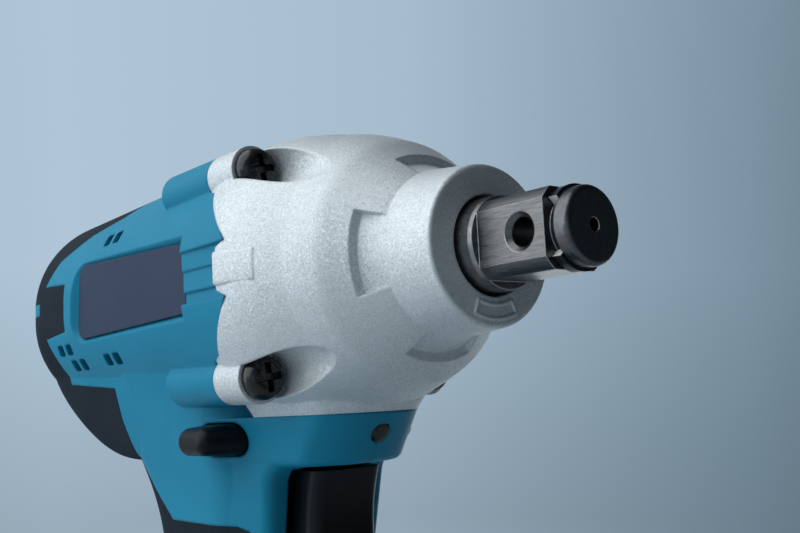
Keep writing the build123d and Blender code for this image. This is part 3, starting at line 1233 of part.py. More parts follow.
# Battery pack that slides in from the front
PACK_TOP = FOOT_BOTTOM - SLIDE_GAP
PACK_BOTTOM = PACK_TOP - PACK_HEIGHT
PACK_SPLIT = PACK_TOP - PACK_UPPER_HEIGHT


def pack_section(height, inset):
    """Rounded plan of the battery at a height, drawn in by the inset."""
    with BuildSketch(level(height)) as face:
        with Locations(((PACK_FRONT + PACK_REAR) / 2, 0)):
            RectangleRounded(PACK_FRONT - PACK_REAR - 2 * inset, 2 * (PACK_HALF_WIDTH - inset),
                             PACK_CORNER - inset)
    return face.sketch


with BuildPart() as pack_upper:
    extrude(pack_section(PACK_TOP, 0), amount=PACK_SPLIT - PACK_TOP)
    fillet(pack_upper.faces().sort_by(Axis.Z)[-1].edges(), PACK_EDGE)
    extrude(pack_section(PACK_SPLIT, WALL), amount=PACK_UPPER_HEIGHT - WALL, mode=Mode.SUBTRACT)
    # Rail with a head that the lips of the foot hold
    rail_rear = CHANNEL_REAR + SLIDE_GAP
    add(slab(rail_rear, RAIL_FRONT, LIP_HALF_WIDTH - SLIDE_GAP, PACK_TOP - WALL, LIP_TOP + SLIDE_GAP))
    add(slab(rail_rear, RAIL_FRONT, CHANNEL_HALF_WIDTH - SLIDE_GAP, LIP_TOP + SLIDE_GAP,
             CHANNEL_TOP - SLIDE_GAP))
    # Pocket round the terminals, open to the rear, and the well of the release button
    pocket_floor = CHANNEL_TOP - BLADE_HEIGHT - CONTACT_ROOM
    add(slab(rail_rear, BLOCK_LENGTHS[1] + CONTACT_ROOM, BLOCK_HALF_WIDTH, pocket_floor, CHANNEL_TOP),
        mode=Mode.SUBTRACT)
    well_half_width = BUTTON_HALF_WIDTH + GAP
    add(slab(BUTTON_REAR - GAP - WALL, PACK_FRONT - WALL, well_half_width + WALL, PACK_SPLIT,
             PACK_TOP - WALL))
    add(slab(BUTTON_REAR - GAP, 0, well_half_width, PACK_SPLIT + WALL, PACK_TOP + FIT), mode=Mode.SUBTRACT)
pack_upper.part.label = "pack_upper"
export_step(pack_upper.part, "parts/pack_upper.step")

with BuildPart() as pack_lower:
    extrude(pack_section(PACK_SPLIT, 0), amount=PACK_BOTTOM - PACK_SPLIT)
    fillet(pack_lower.faces().sort_by(Axis.Z)[0].edges(), PACK_EDGE)
    extrude(pack_section(PACK_SPLIT, WALL), amount=PACK_BOTTOM - PACK_SPLIT + WALL, mode=Mode.SUBTRACT)
    # Groove below the upper case, and upright finger grooves towards the front
    groove_height = PACK_SPLIT - GROOVE_WIDTH
    pack_groove = groove(pack_section(groove_height, -FIT), pack_section(groove_height, GROOVE_DEPTH))
    add(pack_groove, mode=Mode.SUBTRACT)
    for side in (-1, 1):
        with BuildSketch(beside(side, PACK_HALF_WIDTH + FIT)):
            with Locations((RIB_FRONT - RIB_COUNT * RIB_PITCH / 2, (PACK_SPLIT + PACK_BOTTOM) / 2)):
                with GridLocations(RIB_PITCH, 1, RIB_COUNT, 1):
                    SlotOverall(RIB_HEIGHT, RIB_GAP, rotation=90)
        extrude(amount=side * (GROOVE_DEPTH + FIT), mode=Mode.SUBTRACT)
pack_lower.part.label = "pack_lower"
export_step(pack_lower.part, "parts/pack_lower.step")

with BuildPart() as battery_cells:
    for row in range(2):
        cell_height = PACK_BOTTOM + WALL + FIT + CELL_RADIUS + row * (2 * CELL_RADIUS + GAP)
        with BuildSketch(beside(1, CELL_LENGTH / 2)):
            with Locations(((PACK_FRONT + PACK_REAR) / 2, cell_height)):
                with GridLocations(2 * CELL_RADIUS + GAP, 1, CELLS_IN_ROW, 1):
                    Circle(CELL_RADIUS)
        extrude(amount=CELL_LENGTH)
battery_cells.part.label = "battery_cells"
export_step(battery_cells.part, "parts/battery_cells.step")

with BuildPart() as pack_board:
    board_bottom = PACK_BOTTOM + WALL + FIT + 4 * CELL_RADIUS + 2 * GAP
    extrude(pack_section(board_bottom, WALL + FIT), amount=BOARD_THICKNESS)
pack_board.part.label = "pack_board"
export_step(pack_board.part, "parts/pack_board.step")

with BuildPart() as pack_contacts:
    for side in (-1, 1):
        for face_side in (-1, 1):
            contact_y = side * BLADE_Y + face_side * (BLADE_THICKNESS + CONTACT_THICKNESS + 2 * GAP) / 2
            contact_middle = AXIS_Z + CHANNEL_TOP - CONTACT_ROOM - BLADE_HEIGHT / 2
            with Locations((NOSE_X + sum(BLOCK_LENGTHS) / 2, contact_y, contact_middle)):
                Box(CONTACT_LENGTH, CONTACT_THICKNESS, BLADE_HEIGHT)
pack_contacts.part.label = "pack_contacts"
export_step(pack_contacts.part, "parts/pack_contacts.step")

with BuildPart() as release_button:
    button_bottom = PACK_SPLIT + WALL + BUTTON_TRAVEL + GAP
    add(slab(BUTTON_REAR, PACK_FRONT, BUTTON_HALF_WIDTH, button_bottom, PACK_TOP - GAP))
    fillet(release_button.edges().filter_by(Axis.Z).group_by(Axis.X)[-1], BUTTON_EDGE)
    # Latch tongue that reaches up into the channel
    add(slab(BUTTON_REAR, BUTTON_REAR + TONGUE_THICKNESS, TONGUE_HALF_WIDTH, PACK_TOP - GAP,
             LIP_TOP + TONGUE_RISE))
    with BuildSketch(level(button_bottom)):
        with Locations(((BUTTON_REAR + PACK_FRONT) / 2, 0)):
            Circle(LATCH_SPRING_RADIUS + 2 * GAP)
    extrude(amount=LATCH_SPRING_DEPTH, mode=Mode.SUBTRACT)
release_button.part.label = "release_button"
export_step(release_button.part, "parts/release_button.step")

with BuildPart() as latch_spring:
    latch_foot = AXIS_Z + PACK_SPLIT + WALL + LATCH_WIRE + FIT
    latch_plane = Plane(origin=(NOSE_X + (BUTTON_REAR + PACK_FRONT) / 2, 0, latch_foot))
    latch_length = BUTTON_TRAVEL + GAP + LATCH_SPRING_DEPTH - 2 * LATCH_WIRE - 2 * FIT
    latch_coil_radius = LATCH_SPRING_RADIUS - LATCH_WIRE
    add(coil(latch_plane, latch_length, latch_coil_radius, LATCH_WIRE, SMALL_SPRING_HALF_TURNS))
latch_spring.part.label = "latch_spring"
export_step(latch_spring.part, "parts/latch_spring.step")
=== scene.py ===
import json
import math

import bpy
import bmesh
from mathutils import Matrix, Vector

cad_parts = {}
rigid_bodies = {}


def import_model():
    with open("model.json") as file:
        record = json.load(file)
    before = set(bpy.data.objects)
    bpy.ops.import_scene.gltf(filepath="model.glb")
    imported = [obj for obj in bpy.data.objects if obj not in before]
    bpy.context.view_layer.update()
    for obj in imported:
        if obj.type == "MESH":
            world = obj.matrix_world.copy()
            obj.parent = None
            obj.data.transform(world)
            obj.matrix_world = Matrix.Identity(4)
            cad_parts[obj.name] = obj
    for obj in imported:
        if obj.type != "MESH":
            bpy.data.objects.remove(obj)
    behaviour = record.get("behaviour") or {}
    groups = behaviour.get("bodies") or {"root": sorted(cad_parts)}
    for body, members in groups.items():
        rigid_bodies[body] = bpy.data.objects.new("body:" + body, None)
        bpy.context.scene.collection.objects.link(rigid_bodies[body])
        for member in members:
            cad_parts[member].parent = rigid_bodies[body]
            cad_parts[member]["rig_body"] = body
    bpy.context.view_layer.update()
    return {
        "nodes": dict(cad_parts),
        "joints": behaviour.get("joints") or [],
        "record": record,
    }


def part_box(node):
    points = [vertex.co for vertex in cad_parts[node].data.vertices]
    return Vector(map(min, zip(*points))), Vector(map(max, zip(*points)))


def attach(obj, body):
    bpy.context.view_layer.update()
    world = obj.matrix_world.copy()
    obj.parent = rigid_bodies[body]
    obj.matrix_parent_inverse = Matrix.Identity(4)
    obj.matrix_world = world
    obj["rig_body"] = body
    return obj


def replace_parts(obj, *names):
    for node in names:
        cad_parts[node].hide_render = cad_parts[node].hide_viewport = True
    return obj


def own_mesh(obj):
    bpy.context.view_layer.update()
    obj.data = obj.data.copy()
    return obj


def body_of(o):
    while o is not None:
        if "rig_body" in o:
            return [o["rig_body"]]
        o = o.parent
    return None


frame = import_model()
nodes = frame["nodes"]
slots = {entry["node"]: entry["material_slot"] for entry in frame["record"]["subparts"]}
scene = bpy.context.scene

MM = 0.001

# The drive axis and the nose face in the frame, in metres
ANVIL_TIP = 21.65 * MM
NOSE_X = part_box("anvil")[1].x - ANVIL_TIP
AXIS_Z = (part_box("anvil_bush")[0].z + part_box("anvil_bush")[1].z) / 2

# Moulded, turned and drawn finishes
FINISHES = {
    # name: darker colour, paler colour, roughness, grain per metre, grain depth in metres, other settings
    "teal_plastic": ((0.009, 0.247, 0.412), (0.011, 0.263, 0.437), 0.44, 2600, 0.00005,
                     {"edge": 0.0009, "specular": 0.15}),
    "rubber": ((0.009, 0.017, 0.026), (0.013, 0.022, 0.033), 0.75, 3200, 0.00009, {"specular": 0.12}),
    "tool_steel": ((0.12, 0.12, 0.124), (0.21, 0.206, 0.204), 0.36, 3000, 0.00003,
                   {"metal": 1.0, "edge": 0.0003, "flecked": True}),
    "black_steel": ((0.004, 0.005, 0.006), (0.007, 0.008, 0.010), 0.26, 2200, 0.00002, {"edge": 0.0003}),
    "bright_steel": ((0.5, 0.5, 0.51), (0.6, 0.6, 0.61), 0.28, 2200, 0.00002, {"metal": 1.0}),
    "plate": ((0.020, 0.036, 0.080), (0.024, 0.041, 0.089), 0.45, 2600, 0.00002, {"specular": 0.2}),
    "black_plastic": ((0.0022, 0.0034, 0.0052), (0.0036, 0.0052, 0.0078), 0.4, 2600, 0.00003,
                      {"specular": 0.2}),
    "copper": ((0.42, 0.16, 0.06), (0.55, 0.24, 0.1), 0.34, 1800, 0.00008,
               {"metal": 1.0, "stretch": (0.15, 1, 1)}),
    "bronze": ((0.12, 0.08, 0.04), (0.16, 0.105, 0.05), 0.5, 2600, 0.00004, {"metal": 1.0}),
    "board": ((0.01, 0.09, 0.035), (0.02, 0.13, 0.05), 0.4, 900, 0.00004, {}),
    "cell_wrap": ((0.03, 0.16, 0.09), (0.04, 0.19, 0.11), 0.3, 600, 0.00002, {}),
    # LED painted dark grey-brown, standing in for the shade inside the work light's deep window
    "led": ((0.05, 0.045, 0.03), (0.08, 0.07, 0.04), 0.4, 1500, 0.00002, {}),
    "floor_paper": ((0.66, 0.73, 0.78), (0.68, 0.75, 0.80), 0.85, 900, 0.00005, {}),
}
GRAINS_PER_DRIFT = 40
ROUGH_RANGE = 0.06
BEVEL_SAMPLES = 6

# Sand-blasted casting
SILVER = ((0.58, 0.63, 0.66), (0.82, 0.875, 0.91))
SILVER_ROUGH = 0.5
SILVER_METAL = 0.45
FLAKES_PER_METRE = 5200
BLAST_GRAIN = 4600
FLAKE_TILT = (0.35, 0.35, 0.35)

# Steel of the anvil and of its friction ring, each colour from its darker to its paler end
COLLAR_STEEL = ((0.20, 0.20, 0.205), (0.30, 0.295, 0.29))
GROUND_STEEL = ((0.10, 0.10, 0.104), (0.19, 0.187, 0.184))
TIP_STEEL = ((0.10, 0.104, 0.11), (0.14, 0.143, 0.148))
# Pale colour of the anvil's sharp edges: partly wear, partly a painted highlight
EDGE_WEAR_AND_GLINT_STEEL = ((0.6, 0.6, 0.61), (0.75, 0.75, 0.75))
RING_BLACK = ((0.006, 0.007, 0.008), (0.012, 0.013, 0.015))
# Cut ends of the ring: bare steel, painted near white as a highlight
RING_END_STEEL_AND_GLINT = ((0.82, 0.83, 0.85), (0.9, 0.9, 0.92))
GRIND_LINES = 6500
GRIND_STRETCH = (0.05, 1, 1)
ANVIL_STAINS = 900
RING_STAINS = 1500
# Width of the pale band along sharp edges: partly wear, partly a painted highlight
EDGE_WEAR_AND_GLINT_WIDTH = 0.25 * MM
SQUARE_REAR = (NOSE_X + 3.3 * MM, NOSE_X + 3.5 * MM)
SQUARE_FRONT = (NOSE_X + 17.2 * MM, NOSE_X + 17.4 * MM)

# Work light lens, tinted near black as painted shade of the deep window it sits in
LENS_SHADE_TINT = (0.003, 0.004, 0.005, 1)
LENS_HAZE = 1800
LENS_LEAN = math.radians(32.85)
LENS_LENGTH = 2.2
LENS_SIDES = 48
LENS_SHARP = math.radians(60)
LENS_PROFILE = (
    # radius, place along the axis from the front of the CAD lens, in millimetres
    (0.7, 0.67),
    (1.3, 0.63),
    (1.75, 0.58),
    (2.0, 0.47),
    (2.08, 0.3),
    (2.08, -LENS_LENGTH),
)

# Hammer case, in millimetres: three points of its dome, as length and radius, and the soft edge on it
NOSE_BASE = (-10.2, 14.9)
DOME_MIDDLE = (-20.0, 22.1)
DOME_END = (-38.3, 26.6)
SOFT_EDGE = -19.3
EDGE_LIFT = 0.28
LIFT_END = -25.0
CASE_CUTS = 30
EDGE_BLEND = 1.3
BASE_BLEND = 0.4
# The outside of the case reaches down to a fixed radius near the nose, and to a depth below the dome behind it
NOSE_SKIN_END = -14.9
NOSE_SKIN_RADIUS = 14.4
SKIN_DEPTH = 0.9
TOLERANCE = 0.01

# Lug on each side of the case, in millimetres
LUG_HALF_HEIGHT = 3.1
LUG_BEVEL = 0.6
LUG_OUTLINE = (
    # length, distance from the middle plane
    (-30.6, 25.5),
    (-30.6, 27.05),
    (-39.6, 30.3),
    (-39.6, 27.0),
)

# Stage, camera and light
FLOOR_RADIUS = 0.75
FLOOR_DROP = 0.0004
FLOOR_SIDES = 96
YAW, PITCH, ROLL = math.radians(140.0235), math.radians(7.1081), math.radians(-2.9920)
CAMERA_PLACE = (115.63, -116.96, -23.15)
SENSOR_WIDTH = 36.0
FOCAL_LENGTH = 45.0
CLIP_START = 0.01
LIGHT_AIM = (-35, 0, -10)
DAYLIGHT = (0.95, 0.985, 1.0)
COOL_LIGHT = (0.9, 0.96, 1.0)
ACROSS = (
    # place across the view, colour of the backdrop
    (-1.0, (0.28, 0.35, 0.41)),
    (-0.6, (0.36, 0.46, 0.55)),
    (-0.32, (0.434, 0.565, 0.679)),
    (0.0, (0.386, 0.509, 0.617)),
    (0.33, (0.20, 0.29, 0.366)),
    (0.55, (0.07, 0.10, 0.125)),
    (0.8, (0.035, 0.05, 0.06)),
)
UPWARDS = (
    # place up the view, share of that colour
    (-1.0, 1.0),
    (-0.45, 0.95),
    (-0.24, 0.73),
    (0.0, 1.0),
    (0.26, 1.0),
    (0.45, 0.4),
    (0.8, 0.25),
)
MATT_SHARE = 0.13


def place(length, y, height):
    """Point given in millimetres from the nose face, the middle plane and the drive axis."""
    return Vector((NOSE_X + length * MM, y * MM, AXIS_Z + height * MM))


def linked(name, data):
    """New object in the scene."""
    piece = bpy.data.objects.new(name, data)
    scene.collection.objects.link(piece)
    return piece


def mesh_from(form, name):
    """Mesh made of a bmesh, which is freed."""
    mesh = bpy.data.meshes.new(name)
    form.to_mesh(mesh)
    form.free()
    return mesh


# Pieces of shader trees
def start_material(name):
    """New material with only a Principled shader and its output."""
    material = bpy.data.materials.new(name)
    material.use_nodes = True
    tree = material.node_tree
    tree.nodes.clear()
    output = tree.nodes.new("ShaderNodeOutputMaterial")
    shader = tree.nodes.new("ShaderNodeBsdfPrincipled")
    tree.links.new(shader.outputs["BSDF"], output.inputs["Surface"])
    return material, tree, shader


def object_coords(tree, stretch=(1, 1, 1)):
    """Object coordinates, optionally stretched for a grain with a direction."""
    coords = tree.nodes.new("ShaderNodeTexCoord")
    mapping = tree.nodes.new("ShaderNodeMapping")
    mapping.inputs["Scale"].default_value = stretch
    tree.links.new(coords.outputs["Object"], mapping.inputs["Vector"])
    return mapping.outputs["Vector"]


def noise(tree, vector, scale, detail=2.0, rough=0.5):
    """Noise with features of about one over the scale, in metres."""
    texture = tree.nodes.new("ShaderNodeTexNoise")
    texture.inputs["Scale"].default_value = scale
    texture.inputs["Detail"].default_value = detail
    texture.inputs["Roughness"].default_value = rough
    tree.links.new(vector, texture.inputs["Vector"])
    return texture.outputs["Fac"]


def ramp(tree, factor, low, high, start=0.35, stop=0.65):
    """Colour that goes from low to high between two values of the factor."""
    node = tree.nodes.new("ShaderNodeValToRGB")
    node.color_ramp.elements[0].position = start
    node.color_ramp.elements[0].color = (*low, 1)
    node.color_ramp.elements[1].position = stop
    node.color_ramp.elements[1].color = (*high, 1)
    tree.links.new(factor, node.inputs["Fac"])
    return node.outputs["Color"]


def spread(tree, factor, low, high, start=0.3, stop=0.7):
    """Number that goes from low to high between two values of the factor."""
    node = tree.nodes.new("ShaderNodeMapRange")
    node.inputs["From Min"].default_value = start
    node.inputs["From Max"].default_value = stop
    node.inputs["To Min"].default_value = low
    node.inputs["To Max"].default_value = high
    tree.links.new(factor, node.inputs["Value"])
    return node.outputs["Result"]


def number_math(tree, operation, *values):
    """Result of an operation on one or two numbers."""
    node = tree.nodes.new("ShaderNodeMath")
    node.operation = operation
    for socket, value in zip(node.inputs, values):
        tree.links.new(value, socket)
    return node.outputs["Value"]


def vector_math(tree, operation, first, second=None):
    """Result of an operation on one vector, on two, or on a vector and a constant."""
    node = tree.nodes.new("ShaderNodeVectorMath")
    node.operation = operation
    tree.links.new(first, node.inputs[0])
    if isinstance(second, (tuple, Vector)):
        node.inputs[1].default_value = second
    elif second is not None:
        tree.links.new(second, node.inputs[1])
    return node.outputs["Value" if operation == "DOT_PRODUCT" else "Vector"]


def mixed(tree, factor, below, above):
    """Colour that is the first one where the factor is 0 and the second one where it is 1."""
    node = tree.nodes.new("ShaderNodeMix")
    node.data_type = "RGBA"
    for socket, value in (("Factor", factor), ("A", below), ("B", above)):
        tree.links.new(value, node.inputs[socket])
    return node.outputs["Result"]


def rounded_normal(tree, radius):
    """Normal of a surface whose edges shade as if rounded by the given radius."""
    bevel = tree.nodes.new("ShaderNodeBevel")
    bevel.samples = BEVEL_SAMPLES
    bevel.inputs["Radius"].default_value = radius
    return bevel.outputs["Normal"]


def grain_normal(tree, height, distance, strength, edge):
    """Normal of a height field on a surface with rounded edges."""
    bump = tree.nodes.new("ShaderNodeBump")
    bump.inputs["Distance"].default_value = distance
    bump.inputs["Strength"].default_value = strength
    tree.links.new(height, bump.inputs["Height"])
    tree.links.new(rounded_normal(tree, edge), bump.inputs["Normal"])
    return bump.outputs["Normal"]


def true_normal(tree):
    """Normal of the surface itself."""
    return tree.nodes.new("ShaderNodeNewGeometry").outputs["Normal"]


def edge_wear_and_glint(tree, radius):
    """Number that is 1 along the sharp edges of a piece and 0 elsewhere."""
    same = vector_math(tree, "DOT_PRODUCT", rounded_normal(tree, radius), true_normal(tree))
    return spread(tree, same, 1.0, 0.0, start=0.86, stop=0.97)


# Finishes
def moulded(name, low, high, rough, grain, depth, metal=0.0, edge=0.0004, stretch=(1, 1, 1), specular=0.5,
            flecked=False):
    """Finish with a slow colour drift or flecks, a fine grain and a roughness that follows the grain."""
    material, tree, shader = start_material(name)
    vector = object_coords(tree, stretch)
    drift = noise(tree, vector, grain / GRAINS_PER_DRIFT, detail=3.0)
    fine = noise(tree, vector, grain, detail=3.0, rough=0.6)
    colour = ramp(tree, fine if flecked else drift, low, high)
    tree.links.new(colour, shader.inputs["Base Color"])
    roughness = spread(tree, fine, rough - ROUGH_RANGE, rough + ROUGH_RANGE)
    tree.links.new(roughness, shader.inputs["Roughness"])
    shader.inputs["Metallic"].default_value = metal
    shader.inputs["Specular IOR Level"].default_value = specular
    normal = grain_normal(tree, fine, distance=depth, strength=0.6, edge=edge)
    tree.links.new(normal, shader.inputs["Normal"])
    return material


def blasted():
    """Sand-blasted casting with a silver lacquer: a sparkling grain of small flakes that lean to all sides."""
    material, tree, shader = start_material("cast_silver")
    vector = object_coords(tree)
    flakes = tree.nodes.new("ShaderNodeTexVoronoi")
    flakes.inputs["Scale"].default_value = FLAKES_PER_METRE
    tree.links.new(vector, flakes.inputs["Vector"])
    fine = noise(tree, vector, BLAST_GRAIN, detail=3.0, rough=0.6)
    colour = ramp(tree, flakes.outputs["Color"], *SILVER, start=0.25, stop=0.75)
    tree.links.new(colour, shader.inputs["Base Color"])
    tree.links.new(spread(tree, fine, SILVER_ROUGH - 0.1, SILVER_ROUGH + 0.1), shader.inputs["Roughness"])
    shader.inputs["Metallic"].default_value = SILVER_METAL
    lean = vector_math(tree, "SUBTRACT", flakes.outputs["Color"], (0.5, 0.5, 0.5))
    lean = vector_math(tree, "MULTIPLY", lean, FLAKE_TILT)
    normal = grain_normal(tree, fine, distance=0.00009, strength=0.7, edge=0.0006)
    normal = vector_math(tree, "ADD", normal, lean)
    normal = vector_math(tree, "NORMALIZE", normal)
    tree.links.new(normal, shader.inputs["Normal"])
    return material


def drive_steel():
    """Anvil: bright collar, square ground along its length, blackened tip, and sharp edges painted pale:
    partly wear, partly a painted highlight.
    """
    material, tree, shader = start_material("drive_steel")
    vector = object_coords(tree)
    parts = tree.nodes.new("ShaderNodeSeparateXYZ")
    tree.links.new(vector, parts.inputs["Vector"])
    past_collar = spread(tree, parts.outputs["X"], 0.0, 1.0, *SQUARE_REAR)
    past_square = spread(tree, parts.outputs["X"], 0.0, 1.0, *SQUARE_FRONT)
    lines = noise(tree, object_coords(tree, GRIND_STRETCH), GRIND_LINES, detail=3.0, rough=0.65)
    stains = noise(tree, vector, ANVIL_STAINS, detail=4.0, rough=0.65)
    collar = ramp(tree, stains, *COLLAR_STEEL)
    ground = ramp(tree, lines, *GROUND_STEEL)
    tip = ramp(tree, stains, *TIP_STEEL)
    body = mixed(tree, past_square, mixed(tree, past_collar, collar, ground), tip)
    # Sharp edges, concave ones too, painted pale: partly wear, partly a painted highlight
    wear_and_glint = ramp(tree, stains, *EDGE_WEAR_AND_GLINT_STEEL)
    tree.links.new(mixed(tree, edge_wear_and_glint(tree, EDGE_WEAR_AND_GLINT_WIDTH), body, wear_and_glint), shader.inputs["Base Color"])
    shader.inputs["Metallic"].default_value = 1.0
    tree.links.new(spread(tree, lines, 0.26, 0.38), shader.inputs["Roughness"])
    normal = grain_normal(tree, lines, distance=0.00003, strength=0.6, edge=0.0003)
    tree.links.new(normal, shader.inputs["Normal"])
    return material


def ring_steel():
    """Friction ring: blackened wire, with its two cut ends painted near white: bare steel of the cut with a
    painted highlight.
    """
    material, tree, shader = start_material("ring_steel")
    vector = object_coords(tree)
    stains = noise(tree, vector, RING_STAINS, detail=3.0, rough=0.6)
    outwards = vector_math(tree, "SUBTRACT", vector, (0, 0, AXIS_Z))
    outwards = vector_math(tree, "MULTIPLY", outwards, (0, 1, 1))
    round_about = vector_math(tree, "CROSS_PRODUCT", outwards, (1, 0, 0))
    round_about = vector_math(tree, "NORMALIZE", round_about)
    facing = vector_math(tree, "DOT_PRODUCT", round_about, true_normal(tree))
    turned = number_math(tree, "ABSOLUTE", facing)
    # Cut end faces painted near white: a painted highlight on the bare steel of the cut
    cut = spread(tree, turned, 0.0, 1.0, start=0.6, stop=0.8)
    colour = mixed(tree, cut, ramp(tree, stains, *RING_BLACK), ramp(tree, stains, *RING_END_STEEL_AND_GLINT))
    tree.links.new(colour, shader.inputs["Base Color"])
    tree.links.new(spread(tree, stains, 0.24, 0.34), shader.inputs["Roughness"])
    normal = grain_normal(tree, stains, distance=0.00002, strength=0.5, edge=0.0001)
    tree.links.new(normal, shader.inputs["Normal"])
    return material


def dark_lens():
    """Dark, clear moulded lens, tinted near black as painted shade of the deep window it sits in."""
    material, tree, shader = start_material("clear_plastic")
    fine = noise(tree, object_coords(tree), LENS_HAZE)
    shader.inputs["Transmission Weight"].default_value = 1.0
    shader.inputs["IOR"].default_value = 1.5
    shader.inputs["Base Color"].default_value = LENS_SHADE_TINT
    shader.inputs["Specular IOR Level"].default_value = 0.2
    tree.links.new(spread(tree, fine, 0.06, 0.14), shader.inputs["Roughness"])
    return material


finishes = {"cast_silver": blasted(), "clear_plastic": dark_lens()}
for name, (low, high, rough, grain, depth, settings) in FINISHES.items():
    finishes[name] = moulded(name, low, high, rough, grain, depth, **settings)

node_finishes = {node: finishes[slot] for node, slot in slots.items()}
node_finishes["anvil"] = drive_steel()
node_finishes["friction_ring"] = ring_steel()
for node, finish in node_finishes.items():
    nodes[node].data.materials.clear()
    nodes[node].data.materials.append(finish)


# Pieces that show in place of CAD nodes
def stand_in(name, mesh, node):
    """Piece that is shown in place of a CAD node, on the same body and with the same finish."""
    piece = linked(name, mesh)
    mesh.materials.clear()
    mesh.materials.append(node_finishes[node])
    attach(piece, body_of(nodes[node])[0])
    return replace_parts(piece, node)


def squashed_spring(entry):
    """Copy of a coil spring, shown in place of its CAD node on the same body."""
    node = entry["node"]
    spring = stand_in("coiled_" + node, nodes[node].data.copy(), node)
    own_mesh(spring)


def domed_lens():
    """Mesh of the work light's lens, turned about its axis, with its front just past that of its opening."""
    axis = Vector((math.cos(LENS_LEAN), 0, -math.sin(LENS_LEAN)))
    upwards = Vector((math.sin(LENS_LEAN), 0, math.cos(LENS_LEAN)))
    low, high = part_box("work_light_lens")
    front = (low + high) / 2 + axis * LENS_LENGTH / 2 * MM
    form = bmesh.new()
    rings = []
    for radius, along in LENS_PROFILE:
        ring = []
        for number in range(LENS_SIDES):
            angle = math.tau * number / LENS_SIDES
            outwards = math.cos(angle) * Vector((0, 1, 0)) + math.sin(angle) * upwards
            ring.append(form.verts.new(front + axis * along * MM + outwards * radius * MM))
        rings.append(ring)
    form.faces.new(rings[0])
    form.faces.new(reversed(rings[-1]))
    for near, far in zip(rings, rings[1:]):
        for number in range(LENS_SIDES):
            following = (number + 1) % LENS_SIDES
            form.faces.new((near[number], far[number], far[following], near[following]))
    bmesh.ops.recalc_face_normals(form, faces=form.faces)
    mesh = mesh_from(form, "front_lens")
    mesh.shade_smooth()
    mesh.set_sharp_from_angle(angle=LENS_SHARP)
    return mesh


def arc_through(first, second, third):
    """Middle and radius of the circle through three points."""
    (x1, y1), (x2, y2), (x3, y3) = first, second, third
    twice = 2 * (x1 * (y2 - y3) + x2 * (y3 - y1) + x3 * (y1 - y2))
    squares = [x * x + y * y for x, y in (first, second, third)]
    x = (squares[0] * (y2 - y3) + squares[1] * (y3 - y1) + squares[2] * (y1 - y2)) / twice
    y = (squares[0] * (x3 - x2) + squares[1] * (x1 - x3) + squares[2] * (x2 - x1)) / twice
    return x, y, math.hypot(x1 - x, y1 - y)


def dome_radius(length):
    """Radius of the case's dome at a place along the drive axis."""
    x, y, radius = arc_through(NOSE_BASE, DOME_MIDDLE, DOME_END)
    return y + math.sqrt(radius * radius - (length - x) ** 2)


def dome_lift(length):
    """Distance of the visible surface from the dome: a cone up to the soft edge, then a fading lift."""
    if length > NOSE_BASE[0] or length < LIFT_END:
        return 0.0
    if length < SOFT_EDGE:
        return EDGE_LIFT * ((length - LIFT_END) / (SOFT_EDGE - LIFT_END)) ** 2
    share = (length - NOSE_BASE[0]) / (SOFT_EDGE - NOSE_BASE[0])
    edge_radius = dome_radius(SOFT_EDGE) + EDGE_LIFT
    return NOSE_BASE[1] + share * (edge_radius - NOSE_BASE[1]) - dome_radius(length)


def lift_slope(length):
    """Slope of the lift along the drive axis, evened out over the soft edge."""
    reach = min(EDGE_BLEND, NOSE_BASE[0] - length + BASE_BLEND)
    return (dome_lift(length + reach) - dome_lift(length - reach)) / (2 * reach)


def is_lifted(length, radius):
    """Whether a point is on the outside of the dome, between the nose and the end of the lift."""
    if not LIFT_END < length < NOSE_BASE[0] + TOLERANCE:
        return False
    if length > NOSE_SKIN_END:
        return radius > NOSE_SKIN_RADIUS
    return radius > dome_radius(length) - SKIN_DEPTH


def cut_case():
    """Copy of the hammer case cut into short lengths under its dome, with its normals kept in a layer."""
    source = nodes["hammer_case"].data
    normals = [None] * len(source.vertices)
    for corner, normal in zip(source.loops, source.corner_normals):
        normals[corner.vertex_index] = normal.vector.copy()
    form = bmesh.new()
    form.from_mesh(source)
    normal_layer = form.verts.layers.float_vector.new("normal")
    for vertex, normal in zip(form.verts, normals):
        vertex[normal_layer] = normal
    for cut in range(CASE_CUTS + 1):
        length = NOSE_BASE[0] + cut * (LIFT_END - NOSE_BASE[0]) / CASE_CUTS
        everything = form.verts[:] + form.edges[:] + form.faces[:]
        bmesh.ops.bisect_plane(form, geom=everything, plane_co=place(length, 0, 0), plane_no=(1, 0, 0))
    return form, normal_layer


def reshaped_case():
    """Mesh of the hammer case with a conical front and a soft edge between it and the body."""
    form, normal_layer = cut_case()
    normals = []
    for vertex in form.verts:
        normal = vertex[normal_layer].copy()
        length = (vertex.co.x - NOSE_X) / MM
        outwards = Vector((0, vertex.co.y, vertex.co.z - AXIS_Z))
        radius = outwards.length / MM
        outwards.normalize()
        if is_lifted(length, radius):
            normal.x -= lift_slope(length) * normal.dot(outwards)
            vertex.co += outwards * dome_lift(length) * MM
        normals.append(normal.normalized())
    mesh = mesh_from(form, "shaped_case")
    mesh.normals_split_custom_set_from_vertices(normals)
    return mesh


for joint in frame["joints"]:
    for entry in joint.get("deforming_nodes", []):
        squashed_spring(entry)
stand_in("front_lens", domed_lens(), "work_light_lens")
stand_in("shaped_case", reshaped_case(), "hammer_case")


